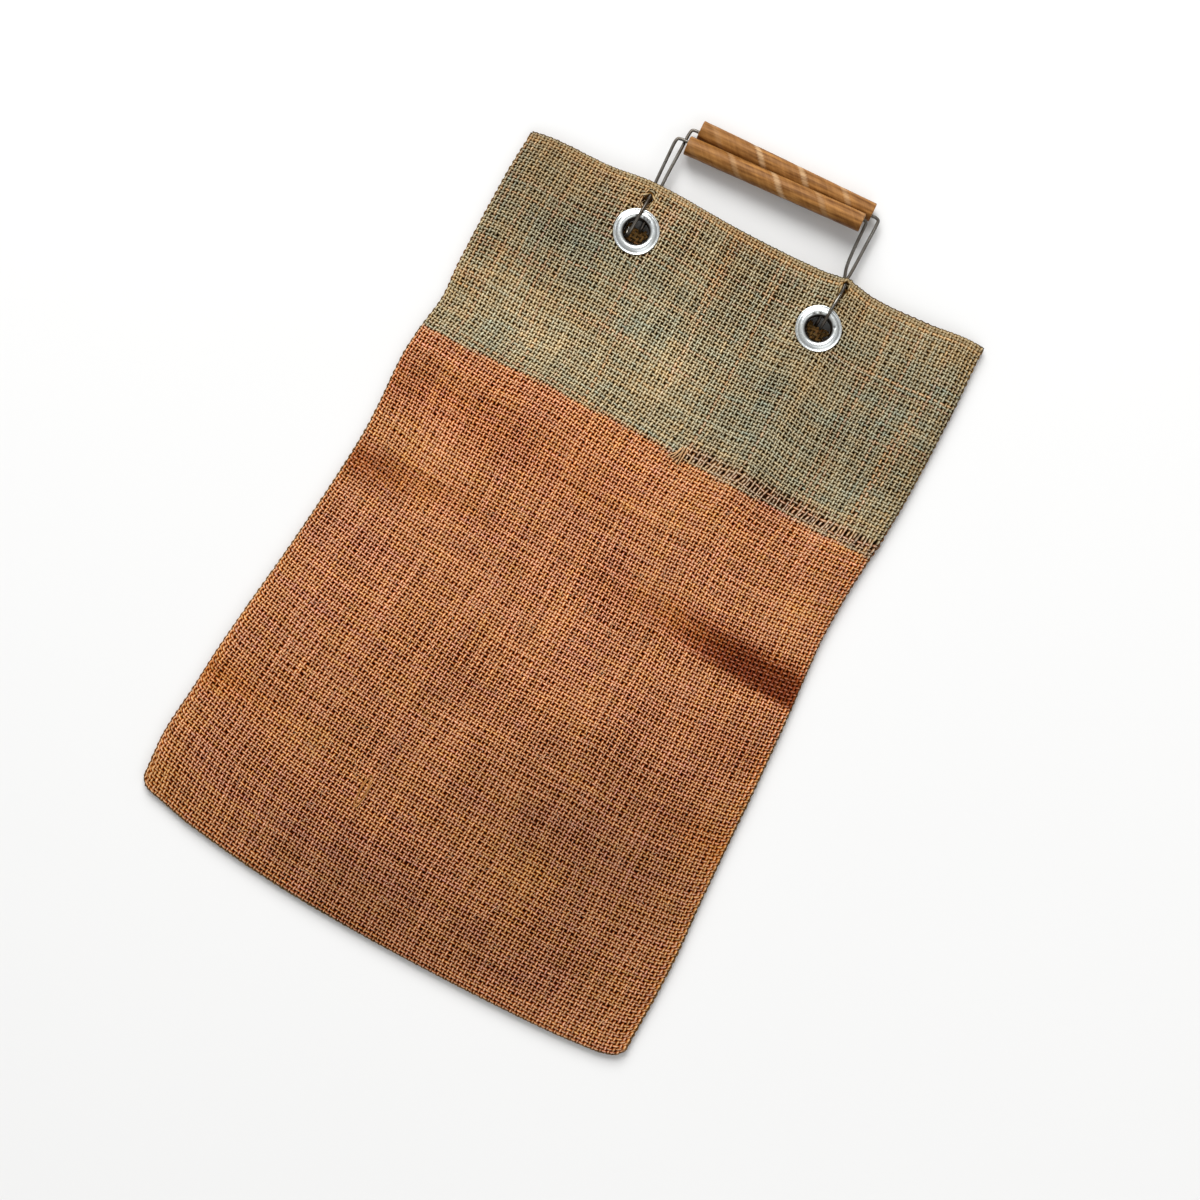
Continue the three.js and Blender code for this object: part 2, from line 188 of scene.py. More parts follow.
# Above zero the cloth is lighter, and below zero darker; it is darker towards the bottom and the
# lower right.
TONE_PATCHES = table(
    Patch,
    (-112, 168, 42, 32, -0.2), (-5, 122, 60, 26, 0.22), (92, 108, 30, 16, -0.05),
    (-62, 86, 75, 22, 0.20), (112, 150, 45, 45, -0.12), (-45, 48, 85, 26, 0.10),
    (-20, -50, 90, 60, 0.06), (85, -140, 75, 50, -0.38), (-55, -140, 70, 40, -0.09),
    (-15, -216, 100, 28, -0.34), (105, -200, 45, 30, -0.16),
)
# Where the threads are thinner, between the eyelets.
THIN = table(Patch, (3, 166, 40, 24, 0.19))


def smoothstep(place: np.ndarray, low: float, high: float) -> np.ndarray:
    """A smooth step from 0 at low to 1 at high."""
    t = np.clip((np.asarray(place, float) - low) / (high - low), 0, 1)
    return t * t * (3 - 2 * t)


def smooth_curve(rows: tuple, key: str, name: str, where: np.ndarray) -> np.ndarray:
    """Reads a table on a smooth curve through its rows.

    Args:
        rows: the table.
        key: the column that says where each row stands, rising.
        name: the column to read.
        where: the places to read it at.

    Returns:
        The value at each place.
    """
    places, values = (np.array([getattr(row, part) for row in rows]) for part in (key, name))
    last = len(rows) - 1
    low, high = np.maximum(np.arange(-1, last), 0), np.minimum(np.arange(1, last + 2), last)
    slope = (values[high] - values[low]) / (places[high] - places[low])
    i = np.clip(np.searchsorted(places, where) - 1, 0, last - 1)
    span = places[i + 1] - places[i]
    t = np.clip((where - places[i]) / span, 0, 1)
    t2, t3 = t * t, t * t * t
    start = (2 * t3 - 3 * t2 + 1) * values[i] + (t3 - 2 * t2 + t) * span * slope[i]
    return start + (3 * t2 - 2 * t3) * values[i + 1] + (t3 - t2) * span * slope[i + 1]


def at_edge(number: np.ndarray, outer: float, inner: float) -> np.ndarray:
    """One value on the outermost threads, one on the next, and 0 further in."""
    return np.select([number == 0, number == 1], [outer, inner], 0.0)


def unit(vectors: np.ndarray) -> np.ndarray:
    """The same vectors at length one."""
    return vectors / np.maximum(np.linalg.norm(vectors, axis=-1, keepdims=True), 1e-9)


def soft_field(
    rng: np.random.Generator, shape: tuple[int, int], reach: tuple[float, float]
) -> np.ndarray:
    """Smooth noise over a lattice.

    Args:
        rng: the seeded source.
        shape: cells of the lattice.
        reach: how many cells it is smooth over, each way.

    Returns:
        Noise with a mean of 0 and a spread of 1.
    """
    fx = np.fft.fftfreq(shape[0])[:, None] * reach[0]
    fy = np.fft.fftfreq(shape[1])[None, :] * reach[1]
    soften = np.exp(-2 * math.pi**2 * (fx * fx + fy * fy))
    noise = np.fft.ifft2(np.fft.fft2(rng.standard_normal(shape)) * soften).real
    return (noise - noise.mean()) / noise.std()


def patchwork(patches: tuple[Patch, ...], x: np.ndarray, y: np.ndarray) -> np.ndarray:
    """Adds up what patches amount to at each place.

    Args:
        patches: the patches.
        x: places across.
        y: places along.

    Returns:
        The sums.
    """
    total = np.zeros_like(x)
    for patch in patches:
        u, v = (x - patch.x) / patch.reach_x, (y - patch.y) / patch.reach_y
        total += patch.amount * np.exp(-(u * u + v * v))
    return total


def wrapped(grid: np.ndarray) -> np.ndarray:
    """A grid with its first row and its first column again at its ends."""
    return np.pad(grid, ((0, 1), (0, 1)), mode="wrap")


def cells(grid: np.ndarray) -> np.ndarray:
    """What stands at the four corners of each cell of a grid, in turn."""
    return np.stack([grid[:-1, :-1], grid[:-1, 1:], grid[1:, 1:], grid[1:, :-1]], axis=2)


def mesh_piece(
    name: str,
    points: np.ndarray,
    quads: np.ndarray,
    tris: np.ndarray | None = None,
    corner_uv: np.ndarray | None = None,
    values: dict[str, np.ndarray] | None = None,
) -> bpy.types.Object:
    """Makes a smooth-shaded mesh object.

    Args:
        name: the piece's name.
        points: its points in millimetres.
        quads: its four-cornered faces.
        tris: its three-cornered faces, if it has any.
        corner_uv: a place on the unwrapped surface for each face corner, quads first.
        values: named numbers for each point, for the finish to read.

    Returns:
        The object, linked to the scene.
    """
    mesh = bpy.data.meshes.new(name)
    tris = np.zeros((0, 3), int) if tris is None else tris
    corners = np.concatenate([quads.ravel(), tris.ravel()]).astype(np.int32)
    starts = np.concatenate(
        [np.arange(len(quads)) * 4, len(quads) * 4 + np.arange(len(tris)) * 3]
    ).astype(np.int32)
    mesh.vertices.add(len(points))
    mesh.vertices.foreach_set("co", (points * MM).astype(np.float32).ravel())
    mesh.loops.add(len(corners))
    mesh.loops.foreach_set("vertex_index", corners)
    mesh.polygons.add(len(starts))
    mesh.polygons.foreach_set("loop_start", starts)
    mesh.update(calc_edges=True)
    mesh.polygons.foreach_set("use_smooth", np.ones(len(starts), bool))
    if corner_uv is not None:
        layer = mesh.uv_layers.new(name=UV_LAYER)
        layer.uv.foreach_set("vector", corner_uv.astype(np.float32).ravel())
    for key, numbers in (values or {}).items():
        attribute = mesh.attributes.new(key, "FLOAT", "POINT")
        attribute.data.foreach_set("value", numbers.astype(np.float32).ravel())
    mesh.validate()
    piece = bpy.data.objects.new(name, mesh)
    bpy.context.scene.collection.objects.link(piece)
    return piece


def lattice_tubes(
    name: str, rings: np.ndarray, keep: np.ndarray, values: dict[str, np.ndarray]
) -> bpy.types.Object:
    """Makes closed tubes from rings of points, many tubes at once.

    Args:
        name: the piece's name.
        rings: points by tube, step along it, corner of the ring, and coordinate.
        keep: by tube and step, whether the tube is there. Each gap is capped.
        values: named numbers by tube and step, and by corner of the ring if they differ.

    Returns:
        The object.
    """
    tubes, steps, sides = rings.shape[:3]
    number = np.cumsum(keep.ravel()).reshape(keep.shape) - 1
    point = number[:, :, None] * sides + np.arange(sides)
    both = keep[:, :-1] & keep[:, 1:]
    tube, step = np.nonzero(both)
    here, there = point[tube, step], point[tube, step + 1]
    turn = (np.arange(sides) + 1) % sides
    quads = np.stack([here, here[:, turn], there[:, turn], there], axis=2).reshape(-1, 4)
    margin = 0.04
    u0 = (tube[:, None] + margin + (1 - 2 * margin) * np.arange(sides) / sides) / tubes
    u1 = u0 + (1 - 2 * margin) / sides / tubes
    v0 = np.broadcast_to(step[:, None] / (steps - 1), u0.shape)
    v1 = v0 + 1 / (steps - 1)
    quad_uv = np.stack([u0, v0, u1, v0, u1, v1, u0, v1], axis=2).reshape(-1, 2)
    before = np.pad(keep, ((0, 0), (1, 0)))[:, :-1]
    after = np.pad(keep, ((0, 0), (0, 1)))[:, 1:]
    fans, fan_uv = [], []
    for ends, order in ((keep & ~before, -1), (keep & ~after, 1)):
        tube, step = np.nonzero(ends)
        ring = point[tube, step][:, ::order]
        for k in range(1, sides - 1):
            fans.append(ring[:, [0, k, k + 1]])
            centre = np.stack([(tube + 0.5) / tubes, step / (steps - 1)], axis=1)
            nudge = np.array([[0, 0], [0.2, 0], [0, 0.2]]) / [tubes, steps]
            fan_uv.append((centre[:, None] + nudge).reshape(-1, 2))
    return mesh_piece(
        name,
        rings[keep].reshape(-1, 3),
        quads,
        np.concatenate(fans),
        np.concatenate([quad_uv, *fan_uv]),
        {
            key: numbers[keep].ravel() if numbers.ndim == 3 else np.repeat(numbers[keep], sides)
            for key, numbers in values.items()
        },
    )


def round_rings(paths: np.ndarray, radius: np.ndarray | float, sides: int) -> np.ndarray:
    """Rings for round tubes that follow paths, turned so that they don't twist.

    Args:
        paths: points by tube and step.
        radius: one radius, or one for each tube and step.
        sides: corners of a ring.

    Returns:
        The rings' points.
    """
    along = unit(np.gradient(paths, axis=1))
    side = np.zeros_like(along)
    first = np.cross(along[:, 0], [0.0, 0.0, 1.0])
    flat = np.linalg.norm(first, axis=1) < 0.1
    first[flat] = np.cross(along[flat, 0], [1.0, 0.0, 0.0])
    side[:, 0] = unit(first)
    for k in range(1, paths.shape[1]):
        carried = side[:, k - 1]
        off = (carried * along[:, k]).sum(1, keepdims=True)
        side[:, k] = unit(carried - off * along[:, k])
    up = np.cross(side, along)
    angle = 2 * math.pi * np.arange(sides) / sides
    spoke = side[:, :, None] * np.cos(angle)[:, None] + up[:, :, None] * np.sin(angle)[:, None]
    return paths[:, :, None] + spoke * np.broadcast_to(radius, paths.shape[:2])[..., None, None]


@dataclass(frozen=True)
class BagLie:
    """How the bag lies: its outline, and the heights of its panels above the table."""

    cloth: float = 1.5
    gap: float = 0.3
    seam_lift: float = 0.8
    seam_lip: float = 2.0
    seam_swell: float = 22.0
    lip_share: float = 0.35
    seat: float = 17.0
    seat_fade: float = 36.0
    seat_stretch: float = 0.45
    back_seat: float = 3.9
    front_seat: float = 10.4

    def spot(
        self, across: np.ndarray, along: np.ndarray, mouth_drop: float
    ) -> tuple[np.ndarray, np.ndarray, np.ndarray, np.ndarray]:
        """Finds places of a panel in the plan of the bag.

        Args:
            across: shares of the width from the left.
            along: shares of the length from the bottom.
            mouth_drop: how far the panel ends short of the mouth's edge.

        Returns:
            X, Y, and the distances from the nearer side and from the bottom.
        """
        bottom = smooth_curve(BOTTOM, "across", "y", across)
        mouth = smooth_curve(MOUTH, "across", "y", across) - mouth_drop
        y = bottom + along * (mouth - bottom)
        left, right = (smooth_curve(SECTIONS, "y", name, y) for name in ("left", "right"))
        side = np.minimum(across, 1 - across) * (right - left)
        return left + across * (right - left), y, side, along * (mouth - bottom)

    def rise(self, distance: np.ndarray) -> np.ndarray:
        """Share of the full height at a distance from a sewn edge.

        Args:
            distance: distances from the edge.

        Returns:
            Shares from 0 to 1.
        """
        lip = 1 - np.exp(-distance / self.seam_lip)
        return self.lip_share * lip + (1 - self.lip_share) * (
            1 - np.exp(-distance / self.seam_swell)
        )

    def crease_depth(self, x: np.ndarray, y: np.ndarray) -> np.ndarray:
        """Depth of the creases in the front panel at each place.

        Args:
            x: places across.
            y: places along.

        Returns:
            The depths in millimetres.
        """
        depth = np.zeros_like(x)
        for crease in CREASES:
            dx, dy = crease.x1 - crease.x0, crease.y1 - crease.y0
            share = ((x - crease.x0) * dx + (y - crease.y0) * dy) / (dx * dx + dy * dy)
            t = np.clip(share, 0, 1)
            off = np.hypot(x - crease.x0 - t * dx, y - crease.y0 - t * dy) / crease.width
            depth += (crease.depth0 + t * (crease.depth1 - crease.depth0)) * np.exp(-off * off)
        return depth

    def seat_share(self, x: np.ndarray, y: np.ndarray) -> np.ndarray:
        """How far each place is on the flat round an eyelet.

        Args:
            x: places across.
            y: places along.

        Returns:
            Shares from 0 to 1.
        """
        share = np.zeros_like(x)
        for at_x, at_y in EYELETS.values():
            dy = y - at_y
            off = np.hypot(x - at_x, np.where(dy > 0, dy * self.seat_stretch, dy))
            share = np.maximum(share, 1 - smoothstep(off, self.seat, self.seat_fade))
        return share

    def middle(
        self, face: Face, x: np.ndarray, y: np.ndarray, side: np.ndarray, low: np.ndarray
    ) -> np.ndarray:
        """Heights of the middle of a panel's cloth.

        Args:
            face: the panel.
            x: places across the bag.
            y: places along it.
            side: distances from the nearer side.
            low: distances from the bottom.

        Returns:
            The heights.
        """
        seat = self.seat_share(x, y)
        if face is Face.BACK:
            seam = np.exp(-np.minimum(side, low) / self.seam_lip)
            return self.cloth / 2 + self.seam_lift * seam + self.back_seat * seat
        rim = self.seam_lift + self.cloth + self.gap
        crown = smooth_curve(SECTIONS, "y", "crown", y) - rim
        closed = self.rise(side) * self.rise(low)
        free = rim + (crown - self.crease_depth(x, y)) * closed
        return self.cloth / 2 + free + seat * (self.front_seat - free)


@dataclass
class NodeKit:
    """Short calls for the nodes that the finishes and the surround share."""

    owner: bpy.types.Material | bpy.types.World
    end: str = "Principled BSDF"

    def __post_init__(self) -> None:
        """Turns the owner's nodes on."""
        self.owner.use_nodes = True
        self.tree = self.owner.node_tree

    def finish(self, given: dict[str, object]) -> bpy.types.Material | bpy.types.World:
        """Feeds the sockets of the shader that ends the tree.

        Args:
            given: what the sockets are fed, by their names.

        Returns:
            The owner of the nodes.
        """
        for name, what in given.items():
            self.join(what, self.tree.nodes[self.end].inputs[name])
        return self.owner

    def join(self, given: object, socket: bpy.types.NodeSocket) -> None:
        """Feeds a socket from another socket, a number or a colour.

        Args:
            given: what it is fed.
            socket: the socket.
        """
        if isinstance(given, bpy.types.NodeSocket):
            self.tree.links.new(given, socket)
        elif socket.type == "RGBA":
            socket.default_value = (*given, 1.0)
        else:
            socket.default_value = given

    def node(
        self, kind: str, result: str, given: dict[str | int, object], **settings: str
    ) -> bpy.types.NodeSocket:
        """Adds a node.

        Args:
            kind: its kind, as Blender calls it after "ShaderNode".
            result: the socket that it is read from.
            given: what its own sockets are fed.
            settings: what it is set to.

        Returns:
            The socket that it is read from.
        """
        node = self.tree.nodes.new(f"ShaderNode{kind}")
        for name, setting in settings.items():
            setattr(node, name, setting)
        for name, what in given.items():
            self.join(what, node.inputs[name])
        return node.outputs[result]

    def value(self, name: str) -> bpy.types.NodeSocket:
        """The number of that name that the mesh carries."""
        return self.node("Attribute", "Fac", {}, attribute_name=name)

    def place(self, scale: float) -> bpy.types.NodeSocket:
        """Places in the object's own space, scaled."""
        at = self.node("TexCoord", "Object", {})
        return self.node("Mapping", "Vector", {"Vector": at, "Scale": (scale, scale, scale)})

    def unwrapped(self, across: float, along: float) -> bpy.types.NodeSocket:
        """Places on the unwrapped surface, scaled."""
        at = self.node("UVMap", "UV", {}, uv_map=UV_LAYER)
        return self.node("Mapping", "Vector", {"Vector": at, "Scale": (across, along, 1.0)})

    def noise(self, at: bpy.types.NodeSocket, detail: float, rough: float) -> bpy.types.NodeSocket:
        """Cloudy noise at places."""
        given = {"Vector": at, "Scale": 1.0, "Detail": detail, "Roughness": rough}
        return self.node("TexNoise", "Fac", given)

    def twist(
        self, at: bpy.types.NodeSocket, strands: float, distortion: float
    ) -> bpy.types.NodeSocket:
        """Slanting bands, for the strands of a twisted thread."""
        given = {"Vector": at, "Scale": strands, "Distortion": distortion}
        return self.node("TexWave", "Fac", given, bands_direction="DIAGONAL")

    def ramp(
        self, what: object, start: float, stop: float, low: float = 0.0, high: float = 1.0
    ) -> bpy.types.NodeSocket:
        """Maps the numbers from start to stop on those from low to high, held at the ends."""
        given = {"From Min": start, "From Max": stop, "To Min": low, "To Max": high}
        return self.node("MapRange", "Result", {"Value": what, **given})

    def maths(self, how: str, a: object, b: object, c: object = 0.0) -> bpy.types.NodeSocket:
        """A sum of two or three numbers."""
        return self.node("Math", "Value", {0: a, 1: b, 2: c}, operation=how)

    def mix(self, share: object, a: object, b: object) -> bpy.types.NodeSocket:
        """Mixes two colours."""
        return self.node("Mix", "Result", {"Factor": share, "A": a, "B": b}, data_type="RGBA")

    def brightness(self, colour: object, scale: object) -> bpy.types.NodeSocket:
        """Scales a colour by a number."""
        given = {"Vector": colour, "Scale": scale}
        return self.node("VectorMath", "Vector", given, operation="SCALE")

    def bump(self, height: object, strength: float, distance: float) -> bpy.types.NodeSocket:
        """A bumped normal."""
        given = {"Height": height, "Strength": strength, "Distance": distance}
        return self.node("Bump", "Normal", given)


class DyeWithPaintedShade(NamedTuple):
    """One dye on a thread, lit and in painted shade: its crest colour, its flank colour half in
    painted shade, and its deep colour in painted shade between threads.
    """

    crest: Colour
    flank: Colour
    deep: Colour


@dataclass(frozen=True)
class JuteFinish:
    """Dyed jute: dull twisted fibre, orange brown with a sage green end, stained in patches,
    and darkened with painted shade on thread flanks, between threads, in folds and at edges.
    """

    name: str
    pink: DyeWithPaintedShade = DyeWithPaintedShade((0.83, 0.505, 0.41), (0.50, 0.130, 0.043), (0.14, 0.013, 0.004))
    ochre: DyeWithPaintedShade = DyeWithPaintedShade((0.82, 0.545, 0.26), (0.56, 0.180, 0.018), (0.19, 0.022, 0.002))
    grey: DyeWithPaintedShade = DyeWithPaintedShade((0.50, 0.545, 0.44), (0.255, 0.265, 0.180), (0.066, 0.058, 0.022))
    tan: DyeWithPaintedShade = DyeWithPaintedShade((0.68, 0.53, 0.32), (0.42, 0.28, 0.115), (0.16, 0.068, 0.011))
    crease_shadow: float = 0.62
    roughness: float = 0.9
    gloss: float = 0.04
    strands: float = 5.0

    def material(self, tubes: int, steps: int) -> bpy.types.Material:
        """Makes the material.

        Args:
            tubes: how many threads the piece has side by side.
            steps: how many crossings each has.

        Returns:
            The material.
        """
        kit = NodeKit(bpy.data.materials.new(self.name))
        warmth, dye = kit.value("warmth"), kit.value("dye")
        crest, flank, deep = (
            kit.mix(dye, kit.mix(warmth, pink, ochre), kit.mix(warmth, grey, tan))
            for pink, ochre, grey, tan in zip(self.pink, self.ochre, self.grey, self.tan)
        )
        # Painted shade: "shade" and "crease" take the crest colour down through the flank colour
        # to the deep colour.
        unshaded = kit.maths("SUBTRACT", 1.0, kit.value("shade"))
        uncreased = kit.maths("MULTIPLY_ADD", kit.value("crease"), -self.crease_shadow, 1.0)
        lit = kit.maths("MULTIPLY", unshaded, uncreased)
        sides = kit.mix(kit.ramp(lit, 0.0, 0.55), deep, flank)
        dye_with_painted_shade = kit.mix(kit.ramp(lit, 0.42, 1.0), sides, crest)
        fibre = kit.noise(kit.unwrapped(tubes * 3.0, steps * 0.55), 3.0, 0.6)
        tone = kit.maths("MULTIPLY", kit.value("tone"), kit.ramp(fibre, 0.25, 0.75, 0.82, 1.16))
        ply = kit.twist(kit.unwrapped(tubes, steps * 0.5), self.strands, 1.5)
        relief = kit.maths("MULTIPLY_ADD", ply, 0.35, fibre)
        return kit.finish({
            "Base Color": kit.brightness(dye_with_painted_shade, tone),
            "Normal": kit.bump(relief, 0.55, 0.0002),
            "Roughness": self.roughness,
            "Specular IOR Level": self.gloss,
        })


@dataclass(frozen=True)
class BackJutePaintedBounceFinish(JuteFinish):
    """The same jute on the back panel, its flank and deep colours lighter and redder as painted
    bounce light on the inner side, where little light reaches.
    """

    pink: DyeWithPaintedShade = DyeWithPaintedShade((0.82, 0.46, 0.37), (0.50, 0.160, 0.085), (0.36, 0.060, 0.018))
    ochre: DyeWithPaintedShade = DyeWithPaintedShade((0.81, 0.50, 0.20), (0.58, 0.225, 0.050), (0.46, 0.085, 0.010))
    grey: DyeWithPaintedShade = DyeWithPaintedShade((0.50, 0.53, 0.42), (0.26, 0.265, 0.185), (0.10, 0.085, 0.038))
    tan: DyeWithPaintedShade = DyeWithPaintedShade((0.69, 0.53, 0.31), (0.43, 0.285, 0.125), (0.22, 0.100, 0.024))


@dataclass(frozen=True)
class NickelFinish:
    """Bright nickel plate with fine scuffs, dull and brown inside the hole and at the dents,
    partly tarnishing and partly painted shade.
    """

    name: str = "nickel plate"
    colour: Colour = (0.80, 0.84, 0.85)
    dulled: Colour = (0.76, 0.78, 0.75)
    tarnish_and_shade: Colour = (0.05, 0.034, 0.022)

    def material(self) -> bpy.types.Material:
        """Makes the material.

        Returns:
            The material.
        """
        kit = NodeKit(bpy.data.materials.new(self.name))
        cloud = kit.noise(kit.place(260.0), 3.0, 0.55)
        scuff = kit.noise(kit.place(900.0), 3.0, 0.6)
        plate = kit.mix(kit.ramp(cloud, 0.4, 0.7), self.colour, self.dulled)
        # The plate darkens inside the hole, as painted shade and tarnishing, and at the dents, as
        # painted dark reflection and scarred plating.
        dark_share = kit.value("tarnish_and_shade")
        polish = kit.ramp(scuff, 0.35, 0.75, 0.27, 0.42)
        return kit.finish({
            "Base Color": kit.mix(dark_share, plate, self.tarnish_and_shade),
            "Roughness": kit.maths("MULTIPLY_ADD", dark_share, 0.3, polish),
            "Normal": kit.bump(scuff, 0.03, 0.0001),
            "Metallic": 1.0,
        })


@dataclass(frozen=True)
class WireFinish:
    """Drawn steel wire gone dark, with bright rubs along it."""

    name: str = "darkened steel wire"
    colour: Colour = (0.20, 0.19, 0.17)
    rusted: Colour = (0.06, 0.045, 0.032)

    def material(self, length: float) -> bpy.types.Material:
        """Makes the material.

        Args:
            length: the wire's length in millimetres.

        Returns:
            The material.
        """
        kit = NodeKit(bpy.data.materials.new(self.name))
        drawn = kit.noise(kit.unwrapped(5.0, length * 0.03), 3.0, 0.6)
        blotch = kit.noise(kit.place(90.0), 3.0, 0.6)
        colour = kit.mix(kit.ramp(blotch, 0.35, 0.7), self.colour, self.rusted)
        return kit.finish({
            "Base Color": kit.brightness(colour, kit.ramp(drawn, 0.3, 0.7, 0.75, 1.5)),
            "Roughness": kit.ramp(blotch, 0.3, 0.75, 0.2, 0.42),
            "Normal": kit.bump(drawn, 0.1, 0.0001),
            "Metallic": 0.9,
        })


@dataclass(frozen=True)
class PaperTubeFinish:
    """Spiral-wound brown paper under a thin lacquer, paler along the joint of the winding."""

    name: str
    mid: Colour = (0.36, 0.163, 0.040)
    dark: Colour = (0.15, 0.052, 0.007)
    pale: Colour = (0.58, 0.38, 0.20)
    raw: Colour = (0.62, 0.47, 0.31)
    lacquer: float = 0.22

    def material(self) -> bpy.types.Material:
        """Makes the material.

        Returns:
            The material.
        """
        kit = NodeKit(bpy.data.materials.new(self.name))
        grain = kit.noise(kit.unwrapped(16.0, 4.0), 4.0, 0.55)
        broad = kit.noise(kit.unwrapped(3.0, 7.0), 3.0, 0.6)
        turns = kit.maths("MULTIPLY", kit.value("winding"), 5.0)
        band = kit.noise(kit.node("CombineXYZ", "Vector", {"X": turns}), 4.0, 0.7)
        blend = kit.maths("MULTIPLY_ADD", grain, 0.45, kit.maths("MULTIPLY", broad, 0.2))
        blend = kit.maths("MULTIPLY_ADD", band, 0.35, blend)
        body = kit.mix(kit.ramp(blend, 0.40, 0.58), self.dark, self.mid)
        joint = kit.maths("MULTIPLY", kit.value("joint"), kit.ramp(grain, 0.3, 0.6, 0.5, 1.0))
        colour = kit.mix(kit.value("cut_end"), kit.mix(joint, body, self.pale), self.raw)
        return kit.finish({
            "Base Color": kit.brightness(colour, kit.ramp(grain, 0.3, 0.75, 0.85, 1.2)),
            "Roughness": kit.ramp(broad, 0.3, 0.7, 0.42, 0.6),
            "Normal": kit.bump(grain, 0.08, 0.0002),
            "Specular IOR Level": self.lacquer,
        })


@dataclass(frozen=True)
class TableFinish:
    """The plain pale surface that the bag lies on."""

    name: str = "pale table"
    colour: Colour = (0.805, 0.805, 0.80)
    cloudy: Colour = (0.795, 0.795, 0.79)

    def material(self) -> bpy.types.Material:
        """Makes the material.

        Returns:
            The material.
        """
        kit = NodeKit(bpy.data.materials.new(self.name))
        cloud = kit.noise(kit.place(6.0), 2.0, 0.5)
        colour = kit.mix(cloud, self.colour, self.cloudy)
        return kit.finish({"Base Color": colour, "Roughness": 0.8})


class Strands(NamedTuple):
    """One set of threads, ready to be made: rings, where they are, and their numbers."""

    rings: np.ndarray
    keep: np.ndarray
    values: dict[str, np.ndarray]

    def take(self, tubes: slice, steps: slice) -> "Strands":
        """Some of the threads, or a stretch of them all."""
        values = {key: numbers[tubes, steps] for key, numbers in self.values.items()}
        return Strands(self.rings[tubes, steps], self.keep[tubes, steps], values)


@dataclass(frozen=True)
class MainFoldPaintedShadow:
    """The painted shadow of the front's main fold: where it falls, and what it adds to the colour
    numbers.
    """

    middle_y: float = -7.0
    falls_over: float = 20.0
    lower_side: tuple[float, float] = (-11.4, -8.0)
    upper_side: tuple[float, float] = (2.0, 15.0)
    right_part: tuple[float, float] = (46.0, 114.0)
    left_part: tuple[float, float] = (80.0, 125.0)
    left_y: float = -14.0
    left_reach: float = 9.0
    left_share: float = 0.35
    crease: float = 0.64
    warmth: float = -0.45
    tone: float = -0.37

    def share(self, x: np.ndarray, y: np.ndarray) -> np.ndarray:
        """How dark the fold's painted shadow is, with its start at the left, sharp on the lower
        side.

        Args:
            x: places across.
            y: places along.

        Returns:
            Shares from 0 to 1.
        """
        off = y - self.middle_y + x / self.falls_over
        right = smoothstep(off, *self.lower_side) * (1 - smoothstep(off, *self.upper_side))
        left = np.exp(-(((y - self.left_y) / self.left_reach) ** 2))
        left = self.left_share * smoothstep(-x, *self.left_part) * left
        return right * smoothstep(x, *self.right_part) + left


